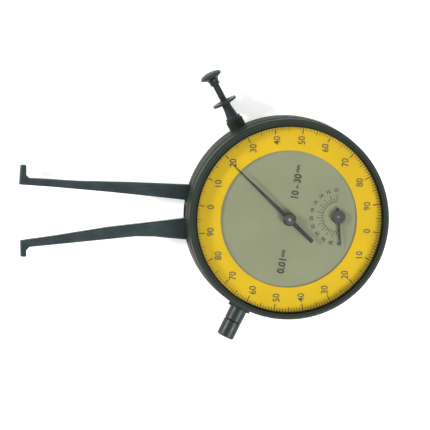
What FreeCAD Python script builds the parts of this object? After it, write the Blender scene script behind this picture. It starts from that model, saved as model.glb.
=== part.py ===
import FreeCAD, Part
import math
import os

os.makedirs("parts", exist_ok=True)

# Inside dial caliper gauge, lying on its back cover with the dial facing up.
# Origin: centre of the back cover's resting face. +Z is out of the dial, the arms reach towards -X.
# All lengths are millimetres and all angles are degrees, counter-clockwise from +X seen from above.

# Body
case_radius = 33.4
case_foot = 0.7              # the case rim stays this far above the resting face
case_wall = 3.0
neck_step = 1.8              # the neck that the bezel turns on is this much smaller than the case
neck_height = 2.3            # from the case's shoulder up to the top of the deck
back_floor = 1.2             # thickness of the ledge that the back cover screws into
deck_thickness = 1.0
deck_width = 9.6             # from the neck in to the opening of the deck
shelf_width = 2.8            # inner ledge that carries the base plate
shelf_thickness = 1.2
ledge_width = 3.2            # back ledge for the cover screws
rim_round = 0.8

cover_thickness = 1.6
cover_border = 1.6           # the case's rim outside the back cover
cover_groove_depth = 0.4     # shallow turned ring in the outside of the back cover
cover_groove_width = 5.0
cover_groove_border = 9.8
cover_screw_border = 2.4     # from the cover's edge in to its screws
cover_screw_angle = 45.0
cover_screw_count = 4
pin_socket = 0.6             # the pivot pin stands this deep in the back cover

# Levels of the inside, from the resting face up
arm_room = 2.0               # from the back cover to the underside of both arms
arm_thickness = 3.2
sector_thickness = 0.8
sector_room = 0.8            # from the sector to the base plate
base_plate_thickness = 1.2
base_screw_angle = 20.0
base_screw_count = 4
first_level_gap = 0.4        # from the base plate to the lowest wheels
second_level_step = 0.9
third_level_step = 0.8
bridge_room = 0.4            # from the highest wheels to the bridge
bridge_thickness = 0.8
bridge_edge = 3.0
pillar_radius = 1.5
pillar_stub = 0.75           # radius of a pillar's foot in the base plate
pillar_places = [(-9.0, -8.0), (14.0, -19.0), (20.5, 8.0), (-5.0, 8.0)]
deck_clearance = 0.4         # air between the bridge and the deck

# Fits
press_gap = 0.01             # radial, parts of one body that are pressed or screwed together
run_gap = 0.03               # radial, shafts that turn or slide in their holes
face_gap = 0.05              # axial, faces that turn past each other
slot_gap = 0.3               # case openings round the arms
turn_gap = 0.1               # between the bezel's foot and the case's shoulder

# Screws
cover_screw_radius = 0.8
cover_screw_head = 1.5
plate_screw_radius = 0.8
plate_screw_head = 1.4
plate_screw_head_height = 0.8
bridge_screw_radius = 0.6
bridge_screw_head = 1.1
bridge_screw_depth = 2.2
arm_screw_radius = 1.0
arm_screw_head = 1.8
sector_screw_radius = 0.6
sector_screw_head = 1.1
sector_screw_head_height = 0.5
sector_screw_depth = 1.9
dial_screw_radius = 0.45
dial_screw_head = 0.8
driver_slot = 0.3            # width and depth of a screwdriver slot
driver_angle = 40.0          # each screw is left turned this much more than the one before
hole_end = 0.1               # a blind hole goes this much deeper than what stands in it

# Arms, seen from above. Each edge is a short list of bends from the tip to the case.
pivot = (-18.9, -1.0)
arm_round = 0.35
tip_half_width = 0.95        # of the measuring end of each hook
tip_bevel = 0.25
fixed_top = [(-85.6, 13.3), (-69.0, 12.2), (-52.0, 11.7), (-32.2, 10.8)]
fixed_bottom = [(-88.4, 11.1), (-77.5, 10.3), (-58.4, 8.5), (-39.2, 6.4), (-33.3, 5.7)]
fixed_tip = (-87.0, 17.6)    # outermost point of the upper hook
root_from_pivot = 3.3        # the thick root stops this far past the pivot, inside the case
fixed_root_low = 5.3
fixed_root_high = 11.0
root_blend = 2.0             # the thin arm runs this far into the root's sides
fixed_screw_inset = 2.3      # from each end of the root block to its screw
dowel_radius = 0.7
dowel_offset = 1.5           # the two dowels stand this far above and below the middle of the root
moving_top = [(-88.0, -7.4), (-77.5, -6.0), (-58.4, -3.1), (-44.3, -1.6), (-34.1, -0.4)]
moving_bottom = [(-86.1, -9.7), (-69.0, -8.1), (-49.9, -6.3), (-43.5, -6.4), (-32.8, -7.5)]
moving_tip = (-87.0, -12.8)  # outermost point of the lower hook
hook_root = 0.8              # the hook starts this far inside the arm
hook_web = 1.0               # slanting web in the hook's inner corner
closing_angle = 15.0         # the moving arm swings this far from open to closed

# Moving arm inside the case
hub_radius = 4.2
hub_shoulder = 2.0           # the arm's edges meet the hub this far before the pivot
hub_shoulder_drop = 0.2
bush_radius = 2.2
pin_radius = 1.5
pin_collar_radius = 2.6      # the pin's foot, which carries the lower washer
washer_radius = 3.2
washer_thickness = 0.5
limb_half_width = 2.7
nose_radius = 1.5            # round end of the limb that the plunger pushes
limb_neck = 0.9              # half width of the limb just behind its nose
wing_length = 10.0           # wing that carries the toothed sector
wing_angle = -18.0
wing_root_half_width = 3.8
wing_half_width = 2.2
sector_screw_reach = (5.6, 8.8)
sector_hub_width = 2.0
sector_web_width = 1.2
sector_web_angle = 38.0      # the sector's sides leave its hub this far to each side of the wing
window_start = 1.6           # lightening window, from the wing's end
window_rim = 2.4             # metal left outside the window
window_low_angle = 8.5
window_high_angle = 5.5
stop_reach = 9.0             # distance of the stop pin from the pivot
stop_radius = 1.0

# Return spring of the arm
hook_pin_offset = (-6.5, -2.9)    # from the pivot
hook_pin_radius = 0.6
hook_pin_depth = 1.9
anchor_offset = (-2.4, -14.3)     # from the pivot
anchor_radius = 0.8
anchor_start = 2.0           # the post hangs down to this height above the arms' underside
spring_radius = 0.95
spring_wire = 0.36
spring_turns = 8
spring_lead = 4.6            # straight wire from the hook pin to the first turn
spring_tail = 1.9            # straight wire from the last turn to the anchor
spring_air = 0.1             # between the spring and the base plate
turn_share = 0.98            # a turn's wire against the straight wire, so that the turns stay apart

# Plunger, its axis is radial
plunger_angle = 118.0
rod_radius = 1.1
rod_end = 2.0                # the rod reaches this far into the button
push_pad_radius = 1.7
push_pad_length = 1.2
push_gap = 0.05
collar_radius = 1.9
collar_length = 1.0
boss_radius = 2.85
boss_height = 3.1
sleeve_inset = 1.8           # the sleeve's inner end stands this far inside the bore
sleeve_shank = 2.1
sleeve_length = 7.3          # outside the boss
sleeve_collar = 0.4          # the sleeve's collar on the boss, outside its shank
sleeve_collar_length = 1.0
sleeve_base_radius = 2.0
sleeve_tip_radius = 1.5
sleeve_tip_length = 3.0
flange_radius = 4.2
flange_thickness = 0.8
flange_hub_radius = 2.0
flange_hub_length = 1.5
flange_fillet = 0.3
flange_edge = 0.15
button_gap = 1.3             # between the button and the sleeve when the button is pushed in
button_skirt = 1.2
button_radius = 3.7
button_rim = 0.7             # the sloping border of the button
button_crown = 1.9
button_stem_radius = 1.6
button_flare = 0.8
button_rise = 3.4

# Grip
grip_angle = 243.6
grip_radius = 2.9
grip_boss_radius = 3.8       # the case's own boss round the foot of the grip
grip_boss_height = 0.9
grip_length = 10.3
grip_shank_radius = 1.5
grip_inset = 2.0
grip_chamfer = 0.4
grip_split = 4.4             # shallow turned line, from the foot of the grip
grip_line = 0.25

# Gear train. Every gear is an involute gear with 20 degree flanks.
pressure_angle = 20.0
backlash = 0.03
counter_place = (16.4, 0.6)
sector_teeth = 180           # teeth of a full wheel of the sector's size
sector_module = 0.25
first_pinion_teeth = 15
first_wheel_teeth = 54
first_module = 0.25
second_pinion_teeth = 12
second_wheel_teeth = 60
centre_pinion_teeth = 15
centre_module = 0.2
idler_pinion_teeth = 12
idler_wheel_teeth = 60
idler_module = 0.2
transfer_teeth = 30
transfer_module = 0.25
first_arbor_angle = -28.0    # direction of the first arbor from the pivot
spare_teeth_angle = 2.4      # teeth beyond the working arc at each end of the sector
wheel_thickness = 0.5
pinion_overhang = 0.15       # a pinion is this much longer than its wheel at each side
first_pinion_overhang = 0.1
arbor_radius = 0.7
journal_radius = 0.42
arbor_clearance = 0.35       # round the two arbors that pass through the dial
journal_inset = 0.1          # a journal ends this far inside its plate
spoke_width = 0.9
spoke_count = 4
wheel_rim = 1.1
wheel_hub = 1.7

# Dial and pointers
dial_gap = 0.2               # air between the grey plate and the yellow ring
dial_overlap = 1.7           # the grey plate reaches this far under the yellow ring
dial_plate_thickness = 0.4
dial_screw_border = 0.8      # from the plate's edge in to its screws
dial_screw_count = 3
dial_screw_angle = 100.0
dial_ring_width = 8.65
dial_ring_thickness = 0.4
pointer_angle = 135.9
pointer_short = 4.65         # the tip of the long pointer stays this far inside the bezel's lip
pointer_tail = 10.8
pointer_thickness = 0.2
pointer_waist = 0.75         # half widths of the long pointer
pointer_point = 0.12
pointer_heel = 0.65
pointer_boss_radius = 2.2
pointer_rise = 0.8           # from the counter pointer up to the long pointer
pointer_grip = 0.3           # the arbor ends this far above the pointer
boss_bevel = 0.35
eye_border = 0.3             # the boss covers the pointer's round eye by this much
counter_pointer_angle = 274.7
counter_pointer_length = 10.0
counter_pointer_tail = 3.0
counter_pointer_waist = 0.55
counter_pointer_heel = 0.5
counter_pointer_gap = 0.15   # from the yellow ring's level up to the counter pointer
counter_pointer_grip = 0.1
counter_boss_radius = 2.3
counter_boss_bevel = 0.15
counter_boss_gap = 0.25      # from the boss to the long pointer that sweeps over it

# Bezel and crystal
bezel_skirt = 1.55           # wall of the bezel round the neck
bezel_rim_width = 1.85       # from the crystal out to the bezel's side
bezel_round = 0.3
bezel_bevel = 0.9
bezel_bevel_height = 1.3
bezel_ledge_width = 1.75     # carries the yellow ring
bezel_ledge_thickness = 0.5
snap_ring_rise = 0.8         # from the shoulder up to the spring ring
snap_ring_height = 0.6
snap_ring_depth = 0.45       # how far the spring ring reaches into each side
snap_ring_opening = 3.0
crystal_wall = 0.7
crystal_room = 0.95          # from the long pointer up to the crystal
crystal_thickness = 1.3
crystal_crown = 0.65         # the dome's rise from its edge to its middle
crystal_edge_drop = 0.4
crystal_bevel = 0.5
crystal_proud = 0.5          # the crystal's middle stands this far above the bezel
seal_height = 0.5

# Hairspring
hair_inner = 1.0
hair_outer = 3.5
hair_turns = 3
hair_strip = 0.12
hair_height = 0.5
hair_rise = 1.0              # from the counter wheel's level up to the hairspring
stud_radius = 0.45
stud_angle = 45.0

# Radii worked out from the driving sizes
case_bore = case_radius - case_wall
neck_radius = case_radius - neck_step
deck_opening = neck_radius - deck_width
shelf_radius = case_bore - shelf_width
base_plate_radius = case_bore - 2 * press_gap
base_screw_circle = case_bore - shelf_width / 2
cover_radius = case_radius - cover_border
cover_screw_circle = cover_radius - cover_screw_border
bezel_bore = neck_radius + face_gap
bezel_radius = bezel_bore + bezel_skirt
bezel_lip = bezel_radius - bezel_rim_width
bezel_ledge_inner = bezel_lip - bezel_ledge_width
dial_ring_inner = bezel_lip - dial_ring_width
dial_plate_radius = dial_ring_inner + dial_overlap
dial_screw_circle = dial_plate_radius - dial_screw_border
pointer_length = bezel_lip - pointer_short

# Heights worked out from the driving sizes
arm_z = cover_thickness + arm_room
arm_top_z = arm_z + arm_thickness
side_axis_z = arm_z + arm_thickness / 2
sector_top_z = arm_top_z + sector_thickness
base_plate_z = sector_top_z + sector_room
base_top_z = base_plate_z + base_plate_thickness
hub_top_z = base_plate_z - washer_thickness - face_gap
level_one = base_top_z + first_level_gap
level_two = level_one + second_level_step
level_three = level_two + third_level_step
bridge_z = level_three + wheel_thickness + bridge_room
bridge_top_z = bridge_z + bridge_thickness
deck_z = bridge_top_z + deck_clearance
deck_top_z = deck_z + deck_thickness
shoulder_z = deck_top_z - neck_height
snap_ring_z = shoulder_z + snap_ring_rise
plate_top_z = deck_top_z + dial_plate_thickness
ring_z = plate_top_z + dial_gap
ring_top_z = ring_z + dial_ring_thickness
bezel_ledge_z = ring_z - bezel_ledge_thickness
seal_top_z = ring_top_z + seal_height
counter_pointer_z = ring_top_z + counter_pointer_gap
pointer_z = counter_pointer_z + pointer_rise
pointer_top_z = pointer_z + pointer_thickness
crystal_inside = pointer_top_z + crystal_room
crystal_top = crystal_inside + crystal_thickness
crystal_edge_z = crystal_top - crystal_crown
bezel_top = crystal_top - crystal_proud
hair_z = level_one + hair_rise

# Distances from the dial's axis along the plunger and the grip
boss_reach = case_radius + boss_height
sleeve_inner = case_bore - sleeve_inset
sleeve_outer = boss_reach + sleeve_length
grip_seat = case_radius + grip_boss_height
grip_inner = case_bore - grip_inset
grip_end = grip_seat + grip_length
grip_split_reach = grip_seat + grip_split

# Places that follow the pivot
fixed_root_end = pivot[0] + root_from_pivot
hook_pin = (pivot[0] + hook_pin_offset[0], pivot[1] + hook_pin_offset[1])
anchor = (pivot[0] + anchor_offset[0], pivot[1] + anchor_offset[1])


def direction(angle):
    return (math.cos(math.radians(angle)), math.sin(math.radians(angle)))


def along(start, angle, distance):
    """The point at a distance from start in the given direction."""
    way = direction(angle)
    return (start[0] + distance * way[0], start[1] + distance * way[1])


def turned_point(point, centre, angle):
    """A point turned about a centre, counter-clockwise."""
    way = direction(angle)
    x = point[0] - centre[0]
    y = point[1] - centre[1]
    return (centre[0] + x * way[0] - y * way[1], centre[1] + x * way[1] + y * way[0])


def bearing(start, end):
    """Direction of the line from start to end, in degrees."""
    return math.degrees(math.atan2(end[1] - start[1], end[0] - start[0]))


def distance(start, end):
    return math.hypot(end[0] - start[0], end[1] - start[1])


def meeting_point(first, first_reach, second, second_reach, side):
    """Where a circle round first meets one round second. Side +1 is left of the line first to second."""
    span = distance(first, second)
    way = bearing(first, second)
    foot = (first_reach ** 2 - second_reach ** 2 + span ** 2) / (2 * span)
    rise = math.sqrt(first_reach ** 2 - foot ** 2)
    return along(along(first, way, foot), way + 90 * side, rise)


def disc(radius, low, high, centre=(0, 0)):
    base = FreeCAD.Vector(centre[0], centre[1], low)
    return Part.makeCylinder(radius, high - low, base)


def tube(outer, inner, low, high, centre=(0, 0)):
    return disc(outer, low, high, centre).cut(disc(inner, low - 1, high + 1, centre))


def prism(points, low, high):
    """A straight-sided solid over a closed outline."""
    corners = [FreeCAD.Vector(x, y, low) for x, y in points]
    outline = Part.makePolygon(corners + corners[:1])
    return Part.Face(outline).extrude(FreeCAD.Vector(0, 0, high - low))


def turned(profile, centre=(0, 0)):
    """A solid of revolution about a vertical axis, from (radius, height) points."""
    corners = [FreeCAD.Vector(centre[0] + r, centre[1], z) for r, z in profile]
    face = Part.Face(Part.makePolygon(corners + corners[:1]))
    axis = FreeCAD.Vector(centre[0], centre[1], 0)
    return face.revolve(axis, FreeCAD.Vector(0, 0, 1), 360)


def radial(profile, angle):
    """A solid of revolution about a radial axis of the body, from (reach, radius) points."""
    corners = [FreeCAD.Vector(reach, 0, r) for reach, r in profile]
    face = Part.Face(Part.makePolygon(corners + corners[:1]))
    solid = face.revolve(FreeCAD.Vector(0, 0, 0), FreeCAD.Vector(1, 0, 0), 360)
    solid.rotate(FreeCAD.Vector(0, 0, 0), FreeCAD.Vector(0, 0, 1), angle)
    solid.translate(FreeCAD.Vector(0, 0, side_axis_z))
    return solid


def radial_rod(radius, start, end, angle):
    return radial([(start, 0), (end, 0), (end, radius), (start, radius)], angle)


def bar(start, start_radius, end, end_radius, low, high):
    """A flat bar with round ends of two sizes, joined by its tangent lines."""
    way = bearing(start, end)
    lean = math.degrees(math.acos((start_radius - end_radius) / distance(start, end)))
    sides = [
        along(start, way + lean, start_radius),
        along(start, way - lean, start_radius),
        along(end, way - lean, end_radius),
        along(end, way + lean, end_radius),
    ]
    ends = [disc(start_radius, low, high, start), disc(end_radius, low, high, end)]
    return prism(sides, low, high).multiFuse(ends).removeSplitter()


def on_circle(radius, count, first):
    return [along((0, 0), first + 360.0 * i / count, radius) for i in range(count)]


def group(solids):
    return Part.makeCompound(solids)


def slot_cutter(place, radius, top, rise, angle=0.0):
    """The screwdriver slot across a screw head whose face is at top. Rise is +1 up, -1 down."""
    box = Part.makeBox(2 * radius + 1, driver_slot, driver_slot + 1)
    box.translate(FreeCAD.Vector(-radius - 0.5, -driver_slot / 2, 0))
    box.rotate(FreeCAD.Vector(0, 0, 0), FreeCAD.Vector(0, 0, 1), angle)
    low = top - driver_slot if rise > 0 else top - 1
    box.translate(FreeCAD.Vector(place[0], place[1], low))
    return box


def countersunk_screw(place, shank, head, face, tip, angle=0.0):
    """A flat-headed screw whose face is level with a surface and whose tip lies towards tip."""
    way = 1 if face > tip else -1
    neck = face - way * (head - shank)
    profile = [(0, face), (head, face), (shank, neck), (shank, tip), (0, tip)]
    return turned(profile, place).cut(slot_cutter(place, head, face, way, angle))


def sunk_hole(place, shank, head, face, tip):
    """The hole for a countersunk screw, wider by the press gap."""
    way = 1 if face > tip else -1
    wide = head + press_gap
    slim = shank + press_gap
    neck = face - way * (head - shank)
    end = tip - way * 0.05
    profile = [(0, face + way), (wide, face + way), (wide, face), (slim, neck), (slim, end), (0, end)]
    return turned(profile, place)


def cheese_screw(place, shank, head, seat, head_height, tip, angle=0.0):
    """A cylindrical-headed screw that stands on seat and points to tip."""
    way = 1 if seat > tip else -1
    face = seat + way * head_height
    profile = [(0, face), (head, face), (head, seat), (shank, seat), (shank, tip), (0, tip)]
    return turned(profile, place).cut(slot_cutter(place, head, face, way, angle))


def screw_hole(place, shank, seat, tip):
    way = 1 if seat > tip else -1
    low = min(seat + way, tip - way * 0.05)
    high = max(seat + way, tip - way * 0.05)
    return disc(shank + press_gap, low, high, place)


def pitch_radius(teeth, module):
    return teeth * module / 2


def involute(angle):
    return math.tan(angle) - angle


def tooth_half_angle(teeth, module, radius):
    """Half the angle that a tooth takes up at a radius, in degrees."""
    pitch = pitch_radius(teeth, module)
    flank = math.radians(pressure_angle)
    base = pitch * math.cos(flank)
    half = math.pi / (2 * teeth) - backlash / (2 * pitch)
    lean = math.acos(min(1.0, base / radius))
    return math.degrees(half + involute(flank) - involute(lean))


def tooth_points(teeth, module, middle, centre, fine):
    """The outline of one tooth, from its clockwise root to its counter-clockwise root."""
    pitch = pitch_radius(teeth, module)
    base = pitch * math.cos(math.radians(pressure_angle))
    root = pitch - 1.25 * module
    tip = pitch + module
    start = max(base, root + 0.05 * module)
    radii = [root, start, pitch, tip] if fine else [root, tip]
    halves = [tooth_half_angle(teeth, module, max(r, base)) for r in radii]
    falling = [along(centre, middle - half, r) for half, r in zip(halves, radii)]
    rising = [along(centre, middle + half, r) for half, r in zip(halves, radii)]
    return falling + rising[::-1]


def gear(teeth, module, centre, first_tooth, low, high, bore):
    """A full gear with a tooth centred on the direction first_tooth."""
    points = []
    for i in range(teeth):
        middle = first_tooth + 360.0 * i / teeth
        points += tooth_points(teeth, module, middle, centre, teeth <= 30)
    solid = prism(points, low, high)
    if bore > 0:
        solid = solid.cut(disc(bore, low - 1, high + 1, centre))
    return solid


def spoked_wheel(teeth, module, centre, first_tooth, low, bore):
    """A thin gear with windows between its spokes."""
    wheel = gear(teeth, module, centre, first_tooth, low, low + wheel_thickness, bore)
    outer = pitch_radius(teeth, module) - 1.25 * module - wheel_rim
    if outer > wheel_hub + spoke_width:
        rim_space = tube(outer, wheel_hub, low - 1, low + 1 + wheel_thickness, centre)
        for i in range(spoke_count):
            spoke = Part.makeBox(outer + 1, spoke_width, wheel_thickness + 4)
            spoke.translate(FreeCAD.Vector(0, -spoke_width / 2, low - 2))
            spoke.rotate(FreeCAD.Vector(0, 0, 0), FreeCAD.Vector(0, 0, 1), 45 + 360.0 * i / spoke_count)
            spoke.translate(FreeCAD.Vector(centre[0], centre[1], 0))
            rim_space = rim_space.cut(spoke)
        wheel = wheel.cut(rim_space)
    return wheel


def phase_in_space(teeth, toward):
    """Turns a gear so that the middle of a tooth space points in a direction."""
    return toward + 180.0 / teeth


# Centres of the train, each from the pitch circles that touch there
centre_place = (0.0, 0.0)
sector_pitch = pitch_radius(sector_teeth, sector_module)
first_distance = sector_pitch + pitch_radius(first_pinion_teeth, sector_module)
first_place = along(pivot, first_arbor_angle, first_distance)
second_distance = pitch_radius(first_wheel_teeth + second_pinion_teeth, first_module)
centre_distance = pitch_radius(second_wheel_teeth + centre_pinion_teeth, centre_module)
second_place = meeting_point(first_place, second_distance, centre_place, centre_distance, -1)
idler_distance = pitch_radius(idler_pinion_teeth + idler_wheel_teeth, idler_module)
transfer_distance = pitch_radius(2 * transfer_teeth, transfer_module)
idler_place = meeting_point(second_place, idler_distance, counter_place, transfer_distance, -1)
arbor_places = [first_place, second_place, centre_place, idler_place, counter_place]

# Push point of the limb. It is square to the plunger at half travel, so that both move in step.
plunger_way = direction(plunger_angle)
pivot_along = pivot[0] * plunger_way[0] + pivot[1] * plunger_way[1]
push_foot = (pivot_along * plunger_way[0], pivot_along * plunger_way[1])
push_arm = distance(pivot, push_foot)
push_point = turned_point(push_foot, pivot, closing_angle / 2)
push_reach = push_point[0] * plunger_way[0] + push_point[1] * plunger_way[1]
plunger_travel = 2 * push_arm * math.sin(math.radians(closing_angle / 2))
rod_start = push_reach + nose_radius + push_gap
button_seat = sleeve_outer + button_gap + plunger_travel + button_skirt


def side_boss(radius, reach, angle):
    """A round boss on the case's wall, from just inside its outer face to a reach."""
    return radial_rod(radius, case_radius - case_wall / 2, reach, angle)


def case():
    """A turned cup, open at the back, with a deck under the dial and ledges inside."""
    outer = [
        (0, case_foot),
        (case_radius - rim_round, case_foot),
        (case_radius, case_foot + rim_round),
        (case_radius, shoulder_z - rim_round / 2),
        (case_radius - rim_round / 2, shoulder_z),
        (neck_radius, shoulder_z),
        (neck_radius, deck_top_z),
        (0, deck_top_z),
    ]
    shelf_low = base_plate_z - shelf_thickness
    ledge_top = cover_thickness + back_floor
    body = turned(outer)
    body = body.fuse(side_boss(boss_radius, boss_reach, plunger_angle))
    body = body.fuse(side_boss(grip_boss_radius, grip_seat, grip_angle))
    body = body.cut(disc(case_bore, base_plate_z, deck_z))
    body = body.cut(disc(shelf_radius, shelf_low - 1, base_plate_z + 1))
    body = body.cut(disc(case_bore, ledge_top, shelf_low))
    body = body.cut(disc(case_bore - ledge_width, cover_thickness - 1, ledge_top + 1))
    body = body.cut(disc(cover_radius + press_gap, case_foot - 1, cover_thickness))
    body = body.cut(disc(deck_opening, deck_z - 1, deck_top_z + 1))
    groove_low = snap_ring_z - press_gap
    groove_high = snap_ring_z + snap_ring_height + press_gap
    groove = tube(neck_radius + 1, neck_radius - snap_ring_depth - press_gap, groove_low, groove_high)
    body = body.cut(groove)
    for place in on_circle(cover_screw_circle, cover_screw_count, cover_screw_angle):
        body = body.cut(screw_hole(place, cover_screw_radius, cover_thickness - 1, ledge_top))
    for place in on_circle(base_screw_circle, base_screw_count, base_screw_angle):
        body = body.cut(screw_hole(place, plate_screw_radius, base_plate_z, shelf_low - hole_end))
    for place in on_circle(dial_screw_circle, dial_screw_count, dial_screw_angle):
        body = body.cut(screw_hole(place, dial_screw_radius, deck_top_z, deck_z - hole_end))
    inside = case_radius / 2
    body = body.cut(radial_rod(sleeve_shank + press_gap, inside, boss_reach + 1, plunger_angle))
    body = body.cut(radial_rod(grip_shank_radius + press_gap, inside, grip_seat + 1, grip_angle))
    return body.cut(fixed_slot()).cut(moving_slot())


def edge_height(edge, x):
    """The height y of an arm's edge at x, along the straight run that crosses it."""
    for start, end in zip(edge, edge[1:]):
        if x <= end[0]:
            break
    share = (x - start[0]) / (end[0] - start[0])
    return start[1] + share * (end[1] - start[1])


def slot_box(low_y, high_y):
    """A window through the left wall of the case, long enough for the curve of the wall."""
    outside = case_radius + 1
    inside = math.sqrt(case_bore ** 2 - max(low_y ** 2, high_y ** 2)) - 1
    box = Part.makeBox(outside - inside, high_y - low_y, arm_thickness + 2 * slot_gap)
    box.translate(FreeCAD.Vector(-outside, low_y, arm_z - slot_gap))
    return box


def fixed_slot():
    low = min(edge_height(fixed_bottom, -case_bore), fixed_root_low)
    high = max(edge_height(fixed_top, -case_radius - 1), fixed_root_high)
    return slot_box(low - slot_gap, high + slot_gap)


def moving_slot():
    """Tall enough for the moving arm at both ends of its swing."""
    outer_edge = -case_radius - 1
    open_low = min(edge_height(moving_bottom, outer_edge), edge_height(moving_bottom, -case_bore))
    closed = turned_point((outer_edge, edge_height(moving_top, outer_edge)), pivot, -closing_angle)
    return slot_box(open_low - 2 * slot_gap, closed[1] + slot_gap)


def back_cover():
    groove_radius = cover_radius - cover_groove_border
    body = disc(cover_radius, 0, cover_thickness)
    body = body.cut(tube(groove_radius, groove_radius - cover_groove_width, -1, cover_groove_depth))
    for place in on_circle(cover_screw_circle, cover_screw_count, cover_screw_angle):
        body = body.cut(sunk_hole(place, cover_screw_radius, cover_screw_head, 0, cover_thickness + 1))
    socket_low = cover_thickness - pin_socket - hole_end
    return body.cut(disc(pin_radius + press_gap, socket_low, cover_thickness + 1, pivot))


def back_cover_screws():
    tip = cover_thickness + back_floor
    places = on_circle(cover_screw_circle, cover_screw_count, cover_screw_angle)
    return group([countersunk_screw(p, cover_screw_radius, cover_screw_head, 0, tip, driver_angle * (i + 1))
                  for i, p in enumerate(places)])


def base_plate():
    """Carries the pivot pin and the fixed arm below, and the gear train above."""
    body = disc(base_plate_radius, base_plate_z, base_top_z)
    for place in on_circle(base_screw_circle, base_screw_count, base_screw_angle):
        body = body.cut(screw_hole(place, plate_screw_radius, base_top_z, base_plate_z - 1))
    for place in pillar_places:
        body = body.cut(disc(pillar_stub + press_gap, base_plate_z - 1, base_top_z + 1, place))
    for place in arbor_places:
        body = body.cut(disc(journal_radius + run_gap, base_plate_z - 1, base_top_z + 1, place))
    for place in fixed_screw_places():
        body = body.cut(screw_hole(place, arm_screw_radius, base_plate_z, base_top_z))
    for place in fixed_dowel_places():
        body = body.cut(disc(dowel_radius + press_gap, base_plate_z - 1, base_top_z + 1, place))
    body = body.cut(disc(pin_radius + press_gap, base_plate_z - 1, base_top_z + 1, pivot))
    body = body.cut(disc(stop_radius + press_gap, base_plate_z - 1, base_top_z + 1, stop_place()))
    return body.cut(disc(anchor_radius + press_gap, base_plate_z - 1, base_top_z + 1, anchor))


def base_plate_screws():
    tip = base_plate_z - shelf_thickness
    places = on_circle(base_screw_circle, base_screw_count, base_screw_angle)
    return group([cheese_screw(p, plate_screw_radius, plate_screw_head, base_top_z, plate_screw_head_height,
                               tip, driver_angle * i) for i, p in enumerate(places)])


def bridge_plate():
    """The upper bearing plate, a flat shape round its four pillars."""
    body = prism(pillar_places, bridge_z, bridge_top_z)
    count = len(pillar_places)
    for i in range(count):
        start = pillar_places[i]
        end = pillar_places[(i + 1) % count]
        body = body.fuse(bar(start, bridge_edge, end, bridge_edge - 0.001, bridge_z, bridge_top_z))
    body = body.removeSplitter()
    for place in pillar_places:
        body = body.cut(sunk_hole(place, bridge_screw_radius, bridge_screw_head, bridge_top_z,
                                  bridge_z - 1))
    for place in arbor_places:
        passes = place in (centre_place, counter_place)
        wide = arbor_radius + arbor_clearance if passes else journal_radius + run_gap
        body = body.cut(disc(wide, bridge_z - 1, bridge_top_z + 1, place))
    return body.cut(disc(stud_radius + press_gap, bridge_z - 1, bridge_top_z + 1, stud_place()))


def bridge_pillars():
    solids = []
    for place in pillar_places:
        pillar = disc(pillar_radius, base_top_z, bridge_z, place)
        pillar = pillar.fuse(disc(pillar_stub, base_plate_z, base_top_z, place))
        tapped = screw_hole(place, bridge_screw_radius, bridge_z, bridge_z - bridge_screw_depth)
        solids.append(pillar.cut(tapped))
    return group(solids)


def bridge_screws():
    tip = bridge_z - bridge_screw_depth
    return group([countersunk_screw(p, bridge_screw_radius, bridge_screw_head, bridge_top_z, tip,
                                    driver_angle * i) for i, p in enumerate(pillar_places)])


def root_block_start():
    """The root block begins just inside the ledge that the base plate lies on."""
    reach = shelf_radius - slot_gap
    return -math.sqrt(reach ** 2 - fixed_root_high ** 2)


def fixed_screw_places():
    middle = (fixed_root_low + fixed_root_high) / 2
    return [(root_block_start() + fixed_screw_inset, middle), (fixed_root_end - fixed_screw_inset, middle)]


def fixed_dowel_places():
    first, second = fixed_screw_places()
    x = (first[0] + second[0]) / 2
    return [(x, first[1] - dowel_offset), (x, first[1] + dowel_offset)]


def rounded_plate(points, low, high, radius):
    """A flat plate whose upright corners are rounded."""
    body = prism(points, low, high)
    upright = [e for e in body.Edges if abs(e.tangentAt(e.FirstParameter).z) > 0.99]
    return body.makeFillet(radius, upright)


def hook(corner, tip, edge, rise):
    """The foot at the arm's tip, with a bevelled measuring end. Rise is +1 up and -1 down."""
    x, end = tip
    shoulder = end - rise * tip_bevel
    heel = x + tip_half_width + hook_web
    level = edge_height(edge, heel)
    sides = [
        corner,
        (x - tip_half_width, shoulder),
        (x - tip_half_width + tip_bevel, end),
        (x + tip_half_width - tip_bevel, end),
        (x + tip_half_width, shoulder),
        (x + tip_half_width, level + rise * hook_web),
        (heel, level),
        (heel, level - rise * hook_root),
    ]
    return prism(sides, arm_z, arm_top_z)


def soften(body, radius):
    """Breaks the long edges of the arm that lies outside the case."""
    chosen = []
    for edge in body.Edges:
        middle = edge.CenterOfMass
        level = abs(edge.tangentAt(edge.FirstParameter).z) < 0.01
        if level and middle.x < -case_radius - 2 and edge.Length > 3:
            chosen.append(edge)
    return body.makeChamfer(radius, chosen)


def fixed_arm():
    """Upper arm: a thin tapered bar outside, a thick root block screwed to the base plate inside."""
    outline = fixed_top + [(fixed_top[-1][0] + root_blend, fixed_root_high)]
    outline += [(fixed_root_end, fixed_root_high), (fixed_root_end, fixed_root_low)]
    outline += [(fixed_bottom[-1][0] + root_blend, fixed_root_low)] + fixed_bottom[::-1]
    body = prism(outline, arm_z, arm_top_z)
    body = body.fuse(hook(fixed_bottom[0], fixed_tip, fixed_top, 1)).removeSplitter()
    body = soften(body, arm_round)
    block = [(root_block_start(), fixed_root_low), (fixed_root_end, fixed_root_low),
             (fixed_root_end, fixed_root_high), (root_block_start(), fixed_root_high)]
    body = body.fuse(prism(block, arm_z, base_plate_z)).removeSplitter()
    for place in fixed_screw_places():
        body = body.cut(sunk_hole(place, arm_screw_radius, arm_screw_head, arm_z, base_plate_z + 1))
    for place in fixed_dowel_places():
        body = body.cut(disc(dowel_radius + press_gap, arm_z - 1, base_plate_z + 1, place))
    return body


def fixed_arm_screws():
    return group([countersunk_screw(place, arm_screw_radius, arm_screw_head, arm_z, base_top_z)
                  for place in fixed_screw_places()])


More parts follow.
